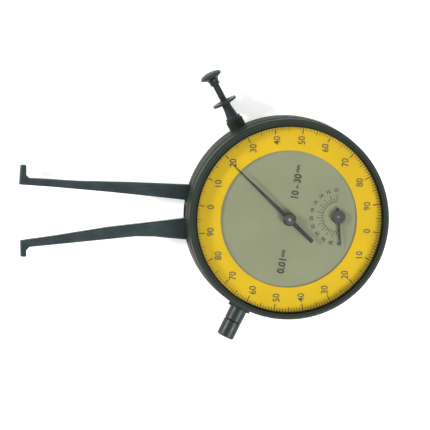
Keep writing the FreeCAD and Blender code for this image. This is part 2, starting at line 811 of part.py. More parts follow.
def fixed_arm_dowels():
    return group([disc(dowel_radius, arm_z + hole_end, base_top_z, place)
                  for place in fixed_dowel_places()])


def pivot_pin():
    """Stands in the back cover and the base plate, with a collar under the lower washer."""
    collar_top = arm_z - face_gap - washer_thickness
    pin = disc(pin_radius, cover_thickness - pin_socket, base_top_z, pivot)
    return pin.fuse(disc(pin_collar_radius, cover_thickness, collar_top, pivot)).removeSplitter()


def pivot_washers():
    """Thin spacers above and below the moving arm's hub."""
    bore = pin_radius + press_gap
    low = tube(washer_radius, bore, arm_z - face_gap - washer_thickness, arm_z - face_gap, pivot)
    high = tube(washer_radius, bore, base_plate_z - washer_thickness, base_plate_z, pivot)
    return group([low, high])


def moving_arm():
    """Lower arm with its hub, the limb that the plunger pushes and the wing under the sector."""
    shoulder_x = pivot[0] - hub_shoulder
    shoulder_y = hub_radius - hub_shoulder_drop
    outline = moving_top + [(shoulder_x, pivot[1] + shoulder_y), pivot]
    outline += [(shoulder_x, pivot[1] - shoulder_y)] + moving_bottom[::-1]
    body = prism(outline, arm_z, arm_top_z)
    body = body.fuse(hook(moving_top[0], moving_tip, moving_bottom, -1)).removeSplitter()
    body = soften(body, arm_round)
    wing_end = along(pivot, wing_angle, wing_length)
    inner = [
        disc(hub_radius, arm_z, arm_top_z, pivot),
        disc(washer_radius, arm_z, hub_top_z, pivot),
        bar(pivot, limb_half_width, push_point, limb_neck, arm_z, arm_top_z),
        disc(nose_radius, arm_z, arm_top_z, push_point),
        bar(pivot, wing_root_half_width, wing_end, wing_half_width, arm_z, arm_top_z),
    ]
    body = body.multiFuse(inner).removeSplitter()
    body = body.cut(disc(bush_radius + press_gap, arm_z - 1, base_plate_z, pivot))
    for reach in sector_screw_reach:
        place = along(pivot, wing_angle, reach)
        body = body.cut(screw_hole(place, sector_screw_radius, arm_top_z, arm_top_z - sector_screw_depth))
    return body.cut(disc(hook_pin_radius + press_gap, arm_top_z - hook_pin_depth, arm_top_z + 1, hook_pin))


def pivot_bush():
    return tube(bush_radius, pin_radius + run_gap, arm_z, hub_top_z, pivot)


def sector_outline():
    """A fan from the hub to the toothed arc, as one closed outline."""
    tooth_angle = 360.0 / sector_teeth
    low_angle = first_arbor_angle - spare_teeth_angle
    high_angle = first_arbor_angle + closing_angle + spare_teeth_angle
    count_low = int(math.floor((low_angle - first_arbor_angle) / tooth_angle))
    count_high = int(math.ceil((high_angle - first_arbor_angle) / tooth_angle))
    points = []
    for i in range(count_low, count_high + 1):
        middle = first_arbor_angle + i * tooth_angle
        points += tooth_points(sector_teeth, sector_module, middle, pivot, False)
    edge = tooth_angle / 2
    root = sector_pitch - 1.25 * sector_module
    first = along(pivot, first_arbor_angle + count_low * tooth_angle - edge, root)
    last = along(pivot, first_arbor_angle + count_high * tooth_angle + edge, root)
    inner_first = along(pivot, wing_angle - sector_web_angle, washer_radius + sector_web_width)
    inner_last = along(pivot, wing_angle + sector_web_angle, washer_radius + sector_web_width)
    return [first] + points + [last, inner_last, along(pivot, wing_angle, washer_radius), inner_first]


def sector_gear():
    """Brass sector that turns with the moving arm and drives the first pinion."""
    body = prism(sector_outline(), arm_top_z, sector_top_z)
    hub = disc(washer_radius + sector_hub_width, arm_top_z, sector_top_z, pivot)
    body = body.fuse(hub).removeSplitter()
    body = body.cut(disc(washer_radius + press_gap, arm_top_z - 1, sector_top_z + 1, pivot))
    for reach in sector_screw_reach:
        place = along(pivot, wing_angle, reach)
        body = body.cut(screw_hole(place, sector_screw_radius, sector_top_z, arm_top_z - 1))
    window_low = along(pivot, wing_angle - window_low_angle, sector_pitch - window_rim)
    window_high = along(pivot, wing_angle + window_high_angle, sector_pitch - window_rim)
    window = [along(pivot, wing_angle, wing_length + window_start), window_low, window_high]
    return body.cut(prism(window, arm_top_z - 1, sector_top_z + 1))


def sector_screws():
    solids = []
    for reach in sector_screw_reach:
        place = along(pivot, wing_angle, reach)
        solids.append(cheese_screw(place, sector_screw_radius, sector_screw_head, sector_top_z,
                                   sector_screw_head_height, arm_top_z - sector_screw_depth, driver_angle))
    return group(solids)


def stop_place():
    """Just clear of the open limb, on the side that it opens towards."""
    way = bearing(pivot, push_point)
    slope = math.degrees(math.asin((limb_half_width - limb_neck) / distance(pivot, push_point)))
    corner = along(pivot, way + 90 - slope, limb_half_width)
    edge_point = along(corner, way - slope, stop_reach)
    return along(edge_point, way + 90 - slope, stop_radius + push_gap)


def arm_stop_pin():
    return disc(stop_radius, arm_z, base_top_z, stop_place())


def spring_hook_pin():
    return disc(hook_pin_radius, arm_top_z - hook_pin_depth, base_plate_z - 2 * spring_air, hook_pin)


def spring_anchor():
    return disc(anchor_radius, arm_z + anchor_start, base_top_z, anchor)


def main_spring():
    """Tension spring: close-wound turns with an eye at each end."""
    way = bearing(hook_pin, anchor)
    span = distance(hook_pin, anchor)
    coil = span - spring_lead - spring_tail
    half = spring_wire / 2
    height = base_plate_z - spring_radius - 2 * half - spring_air
    ahead = FreeCAD.Vector(1, 0, 0)
    rings = []
    for i in range(spring_turns):
        reach = spring_lead + half + (coil - spring_wire) * i / (spring_turns - 1)
        middle = FreeCAD.Vector(reach, 0, height)
        rings.append(Part.makeTorus(spring_radius, half * turn_share, middle, ahead))
    top = height + spring_radius
    spine = Part.makeCylinder(half, coil, FreeCAD.Vector(spring_lead, 0, top), ahead)
    lead_start = hook_pin_radius + press_gap + half
    tail_end = span - anchor_radius - press_gap - half
    tail_start = spring_lead + coil
    lead = Part.makeCylinder(half, spring_lead - lead_start, FreeCAD.Vector(lead_start, 0, top), ahead)
    tail = Part.makeCylinder(half, tail_end - tail_start, FreeCAD.Vector(tail_start, 0, top), ahead)
    up = FreeCAD.Vector(0, 0, 1)
    eye = Part.makeTorus(lead_start, half, FreeCAD.Vector(0, 0, top), up)
    far_eye = Part.makeTorus(anchor_radius + press_gap + half, half, FreeCAD.Vector(span, 0, top), up)
    body = spine.multiFuse(rings + [lead, tail, eye, far_eye])
    body.rotate(FreeCAD.Vector(0, 0, 0), up, way)
    body.translate(FreeCAD.Vector(hook_pin[0], hook_pin[1], 0))
    return body


def plunger_rod():
    pad_end = rod_start + push_pad_length
    outer_end = button_seat + rod_end
    profile = [(rod_start, 0), (outer_end, 0), (outer_end, rod_radius),
               (pad_end, rod_radius), (pad_end, push_pad_radius), (rod_start, push_pad_radius)]
    return radial(profile, plunger_angle)


def plunger_collar():
    """Pinned to the rod just inside the sleeve. It stops the rod when the arms are open."""
    high = sleeve_inner - face_gap
    low = high - collar_length
    profile = [(low, rod_radius + press_gap), (high, rod_radius + press_gap), (high, collar_radius),
               (low, collar_radius)]
    return radial(profile, plunger_angle)


def thumb_button():
    """A domed button on a trumpet-shaped stem."""
    foot = button_seat - button_skirt
    bore = rod_radius + press_gap
    top = button_seat + button_rise
    rim = button_radius - button_rim
    rim_low = button_seat + button_rise / 2
    profile = [
        (foot, bore),
        (foot, button_stem_radius),
        (button_seat, button_stem_radius),
        (button_seat + button_flare, button_stem_radius + button_rim / 2),
        (rim_low - flange_fillet, rim),
        (rim_low, button_radius),
        (rim_low + button_rim, button_radius),
        (top - flange_fillet - flange_edge, rim),
        (top - flange_edge, button_radius - button_crown),
        (top, 0),
        (button_seat + rod_end + press_gap, 0),
        (button_seat + rod_end + press_gap, bore),
    ]
    return radial(profile, plunger_angle)


def guide_sleeve():
    """Screwed into the boss, tapered outside, bored for the rod."""
    bore = rod_radius + run_gap
    collar = sleeve_shank + sleeve_collar
    collar_end = boss_reach + sleeve_collar_length
    profile = [
        (sleeve_inner, bore),
        (sleeve_outer, bore),
        (sleeve_outer, sleeve_tip_radius),
        (sleeve_outer - sleeve_tip_length, sleeve_tip_radius),
        (collar_end, sleeve_base_radius),
        (collar_end, collar),
        (boss_reach, collar),
        (boss_reach, sleeve_shank),
        (sleeve_inner, sleeve_shank),
    ]
    return radial(profile, plunger_angle)


def finger_flange():
    """Thin disc with a small hub, pressed on the sleeve's end."""
    bore = sleeve_tip_radius + press_gap
    low = sleeve_outer - flange_hub_length
    disc_low = low + (flange_hub_length - flange_thickness) / 2
    disc_high = disc_low + flange_thickness
    profile = [
        (low, bore),
        (sleeve_outer, bore),
        (sleeve_outer, flange_hub_radius),
        (disc_high, flange_hub_radius + flange_fillet),
        (disc_high, flange_radius - flange_edge),
        (disc_high - flange_edge, flange_radius),
        (disc_low + flange_edge, flange_radius),
        (disc_low, flange_radius - flange_edge),
        (disc_low, flange_hub_radius + flange_fillet),
        (low, flange_hub_radius),
    ]
    return radial(profile, plunger_angle)


def grip_stem():
    """Short round grip with a shank screwed into the case wall."""
    profile = [
        (grip_inner, 0),
        (grip_end, 0),
        (grip_end, grip_radius - grip_chamfer),
        (grip_end - grip_chamfer, grip_radius),
        (grip_split_reach + grip_line, grip_radius),
        (grip_split_reach, grip_radius - grip_line),
        (grip_split_reach - grip_line, grip_radius),
        (grip_seat, grip_radius),
        (grip_seat, grip_shank_radius),
        (grip_inner, grip_shank_radius),
    ]
    return radial(profile, grip_angle)


def arbor(place, low, high, pinions):
    """A steel arbor with a thin journal at each end and its pinions cut in one piece."""
    body = disc(arbor_radius, base_top_z + face_gap, bridge_z - face_gap, place)
    parts = [disc(journal_radius, low, high, place)]
    for teeth, module, phase, bottom, top in pinions:
        parts.append(gear(teeth, module, place, phase, bottom, top, 0))
    return body.multiFuse(parts).removeSplitter()


def wheel_bore():
    return arbor_radius + press_gap


# Tooth positions at rest, from each mesh to the next
sector_to_first = first_arbor_angle + 180
first_pinion_phase = phase_in_space(first_pinion_teeth, sector_to_first)
first_to_second = bearing(first_place, second_place)
first_wheel_phase = first_to_second
second_pinion_phase = phase_in_space(second_pinion_teeth, first_to_second + 180)
second_to_centre = bearing(second_place, centre_place)
second_wheel_phase = second_to_centre
centre_pinion_phase = phase_in_space(centre_pinion_teeth, second_to_centre + 180)
second_to_idler = bearing(second_place, idler_place)
idler_pinion_phase = phase_in_space(idler_pinion_teeth, second_to_idler)
idler_wheel_phase = second_to_idler + 180
idler_to_counter = bearing(idler_place, counter_place)
transfer_phase = idler_to_counter
counter_phase = phase_in_space(transfer_teeth, idler_to_counter + 180)


def around(level):
    """The height range of a pinion that meshes with a wheel at a level."""
    return (level - pinion_overhang, level + wheel_thickness + pinion_overhang)


def first_pinion():
    low = arm_top_z - first_pinion_overhang
    high = sector_top_z + 2 * first_pinion_overhang
    pinion = (first_pinion_teeth, sector_module, first_pinion_phase, low, high)
    return arbor(first_place, low, bridge_top_z - journal_inset, [pinion])


def first_wheel():
    return spoked_wheel(first_wheel_teeth, first_module, first_place, first_wheel_phase, level_one,
                        wheel_bore())


def second_pinion():
    low, high = around(level_one)
    top_low, top_high = around(level_three)
    pinions = [(second_pinion_teeth, first_module, second_pinion_phase, low, high),
               (idler_pinion_teeth, idler_module, idler_pinion_phase, top_low, top_high)]
    return arbor(second_place, base_plate_z + journal_inset, bridge_top_z - journal_inset, pinions)


def second_wheel():
    return spoked_wheel(second_wheel_teeth, centre_module, second_place, second_wheel_phase, level_two,
                        wheel_bore())


def centre_pinion():
    """The pointer's arbor, long enough to pass through the dial plate."""
    low, high = around(level_two)
    pinion = (centre_pinion_teeth, centre_module, centre_pinion_phase, low, high)
    body = arbor(centre_place, base_plate_z + journal_inset, bridge_z, [pinion])
    top = pointer_top_z + pointer_grip
    return body.fuse(disc(arbor_radius, bridge_z - bridge_room, top, centre_place)).removeSplitter()


def idler_arbor():
    return arbor(idler_place, base_plate_z + journal_inset, bridge_top_z - journal_inset, [])


def idler_wheel():
    return spoked_wheel(idler_wheel_teeth, idler_module, idler_place, idler_wheel_phase, level_three,
                        wheel_bore())


def idler_transfer_wheel():
    return spoked_wheel(transfer_teeth, transfer_module, idler_place, transfer_phase, level_one,
                        wheel_bore())


def counter_arbor():
    body = arbor(counter_place, base_plate_z + journal_inset, bridge_z, [])
    top = counter_pointer_z + pointer_thickness + counter_pointer_grip
    return body.fuse(disc(arbor_radius, bridge_z - bridge_room, top, counter_place)).removeSplitter()


def counter_wheel():
    return spoked_wheel(transfer_teeth, transfer_module, counter_place, counter_phase, level_one,
                        wheel_bore())


def hairspring_collet():
    return tube(hair_inner, wheel_bore(), level_one + wheel_thickness, hair_z + hair_height + face_gap,
                counter_place)


def stud_place():
    return along(counter_place, stud_angle, hair_outer + stud_radius + hair_strip / 2 + press_gap)


def hairspring_stud():
    return disc(stud_radius, hair_z - face_gap, bridge_top_z - journal_inset, stud_place())


def hairspring():
    """A flat strip wound from the collet out to the stud."""
    steps = 12 * hair_turns
    inside = hair_inner + hair_strip / 2 + press_gap
    inner_edge = []
    outer_edge = []
    for i in range(steps + 1):
        angle = stud_angle - 360.0 * hair_turns * (1 - i / steps)
        radius = inside + (hair_outer - inside) * i / steps
        inner_edge.append(along(counter_place, angle, radius - hair_strip / 2))
        outer_edge.append(along(counter_place, angle, radius + hair_strip / 2))
    return prism(outer_edge + inner_edge[::-1], hair_z, hair_z + hair_height)


def dial_plate():
    body = disc(dial_plate_radius, deck_top_z, plate_top_z)
    for place in on_circle(dial_screw_circle, dial_screw_count, dial_screw_angle):
        body = body.cut(sunk_hole(place, dial_screw_radius, dial_screw_head, plate_top_z, deck_top_z - 1))
    body = body.cut(disc(arbor_radius + arbor_clearance, deck_top_z - 1, plate_top_z + 1, centre_place))
    return body.cut(disc(arbor_radius + arbor_clearance, deck_top_z - 1, plate_top_z + 1, counter_place))


def dial_plate_screws():
    places = on_circle(dial_screw_circle, dial_screw_count, dial_screw_angle)
    return group([countersunk_screw(p, dial_screw_radius, dial_screw_head, plate_top_z, deck_z,
                                    driver_angle * i) for i, p in enumerate(places)])


def needle(place, angle, length, tail, waist, heel, low, boss):
    """A tapered pointer with a round eye over its arbor."""
    tip = along(place, angle, length)
    end = along(place, angle + 180, tail)
    points = [
        along(place, angle + 90, waist),
        along(end, angle + 90, heel),
        along(end, angle - 90, heel),
        along(place, angle - 90, waist),
        along(tip, angle - 90, pointer_point),
        along(tip, angle + 90, pointer_point),
    ]
    body = prism(points, low, low + pointer_thickness)
    body = body.fuse(disc(boss - eye_border, low, low + pointer_thickness, place)).removeSplitter()
    return body.cut(disc(arbor_radius + press_gap, low - 1, low + 1, place))


def cap(radius, bevel, low, socket, top, place):
    """A turned cap that sits on a pointer, with a socket over the arbor's end."""
    bore = arbor_radius + press_gap
    profile = [(0, socket), (bore, socket), (bore, low), (radius, low), (radius, top - bevel),
               (radius - bevel, top), (0, top)]
    return turned(profile, place)


def main_pointer():
    return needle(centre_place, pointer_angle, pointer_length, pointer_tail, pointer_waist, pointer_heel,
                  pointer_z, pointer_boss_radius)


def pointer_boss():
    top = crystal_inside - pointer_thickness
    return cap(pointer_boss_radius, boss_bevel, pointer_top_z, pointer_top_z + pointer_grip, top,
               centre_place)


def counter_pointer():
    return needle(counter_place, counter_pointer_angle, counter_pointer_length, counter_pointer_tail,
                  counter_pointer_waist, counter_pointer_heel, counter_pointer_z, counter_boss_radius)


def counter_boss():
    low = counter_pointer_z + pointer_thickness
    return cap(counter_boss_radius, counter_boss_bevel, low, low + counter_pointer_grip,
               pointer_z - counter_boss_gap, counter_place)


def bezel():
    """A turned ring that carries the crystal and the yellow ring, with a groove for its spring ring."""
    foot = shoulder_z + turn_gap
    profile = [
        (bezel_bore, foot),
        (bezel_radius - bezel_round, foot),
        (bezel_radius, foot + bezel_round),
        (bezel_radius, bezel_top - bezel_bevel_height),
        (bezel_radius - bezel_bevel, bezel_top),
        (bezel_lip, bezel_top),
        (bezel_lip, ring_z),
        (bezel_ledge_inner, ring_z),
        (bezel_ledge_inner, bezel_ledge_z),
        (bezel_bore, bezel_ledge_z),
    ]
    groove_low = snap_ring_z - face_gap
    groove_high = snap_ring_z + snap_ring_height + face_gap
    groove = tube(neck_radius + snap_ring_depth + 2 * face_gap, neck_radius, groove_low, groove_high)
    return turned(profile).cut(groove)


def bezel_spring_ring():
    """Open wire ring in the neck of the case. It holds the bezel on and lets it turn."""
    outer = neck_radius + snap_ring_depth
    body = tube(outer, neck_radius - snap_ring_depth, snap_ring_z, snap_ring_z + snap_ring_height)
    gap = Part.makeBox(4 * snap_ring_depth, snap_ring_opening, 2 * snap_ring_height)
    gap.translate(FreeCAD.Vector(outer - 3 * snap_ring_depth, -snap_ring_opening / 2,
                                 snap_ring_z - snap_ring_height / 2))
    return body.cut(gap)


def dial_ring():
    return tube(bezel_lip - press_gap, dial_ring_inner, ring_z, ring_top_z)


def crystal_seal():
    """Flat ring between the yellow ring and the crystal's wall."""
    return tube(bezel_lip - press_gap, bezel_lip - crystal_wall, ring_top_z, seal_top_z)


def crystal():
    """A watch glass: a wall that drops to the seal, and a shallow dome."""
    outer = bezel_lip - press_gap
    inner = bezel_lip - crystal_wall
    rim = outer - crystal_bevel
    sphere = (rim ** 2 + crystal_crown ** 2) / (2 * crystal_crown)
    middle = rim / 2
    middle_z = crystal_top - sphere + math.sqrt(sphere ** 2 - middle ** 2)
    dome = Part.Arc(FreeCAD.Vector(0, 0, crystal_top), FreeCAD.Vector(middle, 0, middle_z),
                    FreeCAD.Vector(rim, 0, crystal_edge_z)).toShape()
    rest = [(rim, crystal_edge_z), (outer, crystal_edge_z - crystal_edge_drop), (outer, seal_top_z),
            (inner, seal_top_z), (inner, crystal_inside), (0, crystal_inside), (0, crystal_top)]
    sides = Part.makePolygon([FreeCAD.Vector(r, 0, z) for r, z in rest])
    wire = Part.Wire([dome] + sides.Edges)
    return Part.Face(wire).revolve(FreeCAD.Vector(0, 0, 0), FreeCAD.Vector(0, 0, 1), 360)


pieces = [
    case, back_cover, back_cover_screws, base_plate, base_plate_screws, bridge_plate, bridge_pillars,
    bridge_screws, fixed_arm, fixed_arm_screws, fixed_arm_dowels, pivot_pin, pivot_washers, moving_arm,
    pivot_bush, sector_gear, sector_screws, arm_stop_pin, spring_hook_pin, spring_anchor, main_spring,
    plunger_rod, plunger_collar, thumb_button, guide_sleeve, finger_flange, grip_stem, first_pinion,
    first_wheel, second_pinion, second_wheel, centre_pinion, idler_arbor, idler_wheel,
    idler_transfer_wheel, counter_arbor, counter_wheel, hairspring_collet, hairspring_stud, hairspring,
    dial_plate, dial_plate_screws, main_pointer, pointer_boss, counter_pointer, counter_boss, bezel,
    bezel_spring_ring, dial_ring, crystal_seal, crystal,
]

for piece in pieces:
    piece().exportStep("parts/" + piece.__name__ + ".step")

print("plunger travel", round(plunger_travel, 4), "per degree", round(plunger_travel / closing_angle, 6))
print("push arm", round(push_arm, 4), "rod starts at", round(rod_start, 4))
for name, place in zip(("first", "second", "centre", "idler", "counter"), arbor_places):
    print(name, "arbor at", round(place[0], 5), round(place[1], 5))
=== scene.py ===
# %% [markdown]
# This lesson dresses an inside dial caliper gauge: a round dial body, two hooked arms, a thumb
# plunger and a short grip. The shapes that carry load come ready made with their places in metres.
# What is added here is what a finisher adds: paint, blacking, plating, printing, glass and light.

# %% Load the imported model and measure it
import math
import bpy
import numpy as np
from mathutils import Matrix, Vector


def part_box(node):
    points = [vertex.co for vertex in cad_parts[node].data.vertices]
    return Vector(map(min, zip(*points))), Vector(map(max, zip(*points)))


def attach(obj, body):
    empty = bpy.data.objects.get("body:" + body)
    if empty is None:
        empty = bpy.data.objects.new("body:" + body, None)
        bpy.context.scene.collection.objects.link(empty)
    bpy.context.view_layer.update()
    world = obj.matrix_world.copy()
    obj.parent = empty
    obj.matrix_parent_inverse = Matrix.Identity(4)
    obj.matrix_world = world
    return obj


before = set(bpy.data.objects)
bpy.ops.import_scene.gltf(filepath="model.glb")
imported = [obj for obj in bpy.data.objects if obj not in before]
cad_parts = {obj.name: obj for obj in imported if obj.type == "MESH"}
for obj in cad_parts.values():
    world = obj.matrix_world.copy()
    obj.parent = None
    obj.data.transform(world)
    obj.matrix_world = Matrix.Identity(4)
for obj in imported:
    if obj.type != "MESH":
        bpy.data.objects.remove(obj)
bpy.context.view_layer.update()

# %% [markdown]
# Every size on the gauge is in millimetres, because that is how a gauge is drawn. One value turns
# them into metres. The printed scales take their places from the parts that carry them.

# %% Units and the places that the printing needs
MM = 0.001


def high(node):
    """The top of a node, in metres."""
    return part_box(node)[1].z


def reach(node):
    """Half the width of a round node that is centred on the dial's axis, in metres."""
    low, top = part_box(node)
    return (top.x - low.x) / 2


def middle(node):
    """Centre of a node's box, in metres."""
    low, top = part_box(node)
    return (low + top) / 2


def bearing(node):
    """Direction from the dial's axis to a node's middle, in radians from +X."""
    place = middle(node)
    return math.atan2(place.y, place.x)


ring_reach = reach("dial_ring")
plate_top = high("dial_plate")
ring_top = high("dial_ring")
counter = middle("counter_arbor")
print("ring", round(ring_reach / MM, 2), "mm, counter at",
      round(counter.x / MM, 2), round(counter.y / MM, 2))

# %% [markdown]
# The camera looks almost straight down on the dial. It leans a little towards the arms, so the
# near wall of the body shows as a dark crescent on that side, and a little towards the plunger.
# A long lens keeps the round dial round.

# %% Camera
LEAN_LEFT = math.radians(6.8)
LEAN_UP = math.radians(5.0)
ROLL = math.radians(0.25)
CAMERA_DISTANCE = 2200 * MM
CAMERA_TARGET = Vector((-23.6 * MM, 0.8 * MM, 8.0 * MM))
PIXELS_PER_MM = 3.024
PICTURE_SIDE = 430
SENSOR_WIDTH = 36


def make_camera():
    """Looks at the target from a direction that leans left by LEAN_LEFT and up by LEAN_UP.
    Lens = sensor width * distance / width of the picture in metres at the target."""
    data = bpy.data.cameras.new("camera")
    data.sensor_width = SENSOR_WIDTH
    data.lens = SENSOR_WIDTH * CAMERA_DISTANCE / (PICTURE_SIDE / PIXELS_PER_MM * MM)
    camera = bpy.data.objects.new("camera", data)
    bpy.context.scene.collection.objects.link(camera)
    back = Vector((-math.sin(LEAN_LEFT), math.sin(LEAN_UP) * math.cos(LEAN_LEFT),
                   math.cos(LEAN_LEFT) * math.cos(LEAN_UP)))
    right = Vector((0, 1, 0)).cross(back).normalized()
    up = back.cross(right)
    turned_right = math.cos(ROLL) * right + math.sin(ROLL) * up
    turned_up = math.cos(ROLL) * up - math.sin(ROLL) * right
    axes = Matrix((turned_right, turned_up, back)).transposed()
    camera.matrix_world = Matrix.Translation(CAMERA_TARGET + back * CAMERA_DISTANCE) @ axes.to_4x4()
    bpy.context.scene.camera = camera
    return camera


camera = make_camera()
print("lens", round(camera.data.lens, 1), "mm")

# %% [markdown]
# A material is a small circuit of nodes. One function adds any node, sets its values and joins
# its inputs. Colours are written the way a paint chart gives them and turned to linear light.

# %% One function for colours and one for nodes


def to_linear(code):
    """A colour such as "e2bd1a" as linear light: ((v + 0.055) / 1.055) to the power 2.4,
    or v / 12.92 where v is dark."""
    values = np.array([int(code[i:i + 2], 16) for i in (0, 2, 4)]) / 255
    linear = np.where(values > 0.04045, ((values + 0.055) / 1.055) ** 2.4, values / 12.92)
    return (*linear.tolist(), 1.0)


def add(tree, kind, settings=None, links=None):
    """Adds a node. A setting goes to the node's own value of that name, or else to the input
    of that name or number. A link brings another node's output to an input."""
    node = tree.nodes.new(kind)
    for name, value in (settings or {}).items():
        if isinstance(name, str) and hasattr(node, name):
            setattr(node, name, value)
        else:
            node.inputs[name].default_value = value
    for name, output in (links or {}).items():
        tree.links.new(node.inputs[name], output)
    return node


def start_material(name):
    """An empty material, its tree, and the Object coordinates that its patterns read."""
    material = bpy.data.materials.new(name)
    material.use_nodes = True
    tree = material.node_tree
    tree.nodes.clear()
    return material, tree, add(tree, "ShaderNodeTexCoord").outputs["Object"]


print("linear light of mid grey", round(to_linear("808080")[0], 3))

# %% [markdown]
# Real finishes are never even. A few patterns are enough for this gauge: two mixed colours, soft
# patches, clouds over a colour, and corners that hands have rubbed. Each is a handful of nodes,
# and what has a scale takes it from a size in millimetres.

# %% Patterns that the finishes share
# Noise runs from nought to one, but nearly all of it lies between these two values.
NOISE_LOW = 0.3
NOISE_HIGH = 0.7
GRAIN_SPAN = (NOISE_LOW, NOISE_HIGH)
CLOUD_SPAN = (0.35, 0.65)
WHITE = "ffffff"
BEVEL_RAYS = 4


def between(tree, pattern, span, first, second):
    """Two colours mixed by a pattern: share = (pattern - low) / (high - low), from 0 to 1.
    Map Range has its limits at inputs 1 to 4, and Mix has its colours at 6 and 7."""
    share = add(tree, "ShaderNodeMapRange", {1: span[0], 2: span[1]}, {0: pattern})
    colours = {"data_type": "RGBA", 6: to_linear(first), 7: to_linear(second)}
    return add(tree, "ShaderNodeMix", colours, {0: share.outputs[0]}).outputs[2]


def patches(tree, place, size_mm, detail=3.0, stretch=(1, 1, 1)):
    """Lumps size_mm across, and longer along an axis whose stretch is under 1."""
    drawn = add(tree, "ShaderNodeMapping", {"Scale": stretch}, {"Vector": place})
    scale = {"Scale": 1 / (size_mm * MM), "Detail": detail}
    return add(tree, "ShaderNodeTexNoise", scale, {"Vector": drawn.outputs[0]}).outputs["Fac"]


def clouded(tree, colour, cloud, shade, amount):
    """A colour times a blend of a shade and white, so that it darkens in wide soft clouds."""
    veil = between(tree, cloud, CLOUD_SPAN, shade, WHITE)
    settings = {"data_type": "RGBA", "blend_type": "MULTIPLY", 0: amount}
    return add(tree, "ShaderNodeMix", settings, {6: colour, 7: veil}).outputs[2]


def rubbed_edges(tree, colour, bare, width_mm, strength):
    """A colour that turns to the bare one at corners. There the normal of a rounded corner,
    width_mm wide, leaves the face's own: share = strength * (1 - one normal . the other)."""
    rounded = add(tree, "ShaderNodeBevel", {"samples": BEVEL_RAYS, "Radius": width_mm * MM})
    face = add(tree, "ShaderNodeNewGeometry")
    agree = add(tree, "ShaderNodeVectorMath", {"operation": "DOT_PRODUCT"},
                {0: rounded.outputs[0], 1: face.outputs["Normal"]})
    leave = add(tree, "ShaderNodeMath", {"operation": "SUBTRACT", 0: 1.0}, {1: agree.outputs["Value"]})
    share = add(tree, "ShaderNodeMath", {"operation": "MULTIPLY", "use_clamp": True, 1: strength},
                {0: leave.outputs[0]})
    settings = {"data_type": "RGBA", 7: to_linear(bare)}
    return add(tree, "ShaderNodeMix", settings, {0: share.outputs[0], 6: colour}).outputs[2]


print("patterns ready, noise taken from", NOISE_LOW, "to", NOISE_HIGH)

# %% [markdown]
# The cup of the body and its bezel are turned metal under a very dark green-black satin enamel.
# Sprayed enamel has a faint orange-peel skin, and hands polish its edges, so the roughness
# wanders and the corners are a little lighter.

# %% Enamel of the case, the back cover and the bezel
# The specular level is below a fresh enamel's, so that the wall stays dark where the lamp grazes it.
ENAMEL_SPECULAR = 0.17
ENAMEL_PEEL_MM = 0.9
ENAMEL_CLOUD_MM = 9.0
ENAMEL_DEPTH_MM = 0.005
ENAMEL_ROUGH = (0.5, 0.64)
ENAMEL_EDGE_MM = 0.35
ENAMEL_WEAR = 1.6


def dark_enamel(name, base, light, turned_mm):
    """Enamel sprayed over turned metal. The eye gets a deep green-black with a broad dull gleam.
    The lathe's rings are a noise of the length of (x, y) only, so they run round the dial's axis.
    They are coarser than real ones, turned_mm apart, and show faintly through the paint."""
    material, tree, place = start_material(name)
    cloud = patches(tree, place, ENAMEL_CLOUD_MM)
    gloss = add(tree, "ShaderNodeMapRange",
                {1: NOISE_LOW, 2: NOISE_HIGH, 3: ENAMEL_ROUGH[0], 4: ENAMEL_ROUGH[1]}, {0: cloud})
    flat = add(tree, "ShaderNodeMapping", {"Scale": (1, 1, 0)}, {"Vector": place})
    radius = add(tree, "ShaderNodeVectorMath", {"operation": "LENGTH"}, {0: flat.outputs[0]})
    marks = add(tree, "ShaderNodeTexNoise",
                {"noise_dimensions": "1D", "Scale": 1 / (turned_mm * MM), "Detail": 2.0},
                {"W": radius.outputs["Value"]})
    peel = patches(tree, place, ENAMEL_PEEL_MM, detail=2.0)
    skin = add(tree, "ShaderNodeMath", {"operation": "ADD"}, {0: peel, 1: marks.outputs["Fac"]})
    bump = add(tree, "ShaderNodeBump", {"Distance": ENAMEL_DEPTH_MM * MM}, {"Height": skin.outputs[0]})
    body = between(tree, cloud, CLOUD_SPAN, base, light)
    worn = rubbed_edges(tree, body, "454d46", ENAMEL_EDGE_MM, ENAMEL_WEAR)
    paint = add(tree, "ShaderNodeBsdfPrincipled", {"IOR": 1.5, "Specular IOR Level": ENAMEL_SPECULAR},
                {"Base Color": worn, "Roughness": gloss.outputs[0], "Normal": bump.outputs[0]})
    add(tree, "ShaderNodeOutputMaterial", links={"Surface": paint.outputs[0]})
    return material


# The case is a touch greener and coarser turned than the bezel, which is handled more.
case_enamel = dark_enamel("dark_green_enamel", "18221a", "202c21", 0.5)
bezel_enamel = dark_enamel("bezel_enamel", "161f19", "1e2920", 0.3)
print(case_enamel.name, bezel_enamel.name)

# %% [markdown]
# The arms are ground tool steel, chemically blacked. The blacking is a thin oxide, so the steel's
# grey-blue shines through it, the grinding marks run along the arm, and the edges come up bright.

# %% Blacked steel of the arms
# Real grinding marks are a few hundredths of a millimetre apart and wouldn't show, so these are
# coarser. The low stretch along X makes each mark about 17 times as long as it is wide.
GRIND_MM = 0.22
GRIND_STRETCH = (0.06, 1, 1)
GRIND_DEPTH_MM = 0.004
BLACKING_CLOUD_MM = 6.0
BLACKING_CLOUD_SHADE = "b4b4b8"
BLACKING_CLOUD_AMOUNT = 0.35
BLACKING_ROUGH = (0.32, 0.5)
ARM_EDGE_MM = 0.25
ARM_WEAR = 2.2


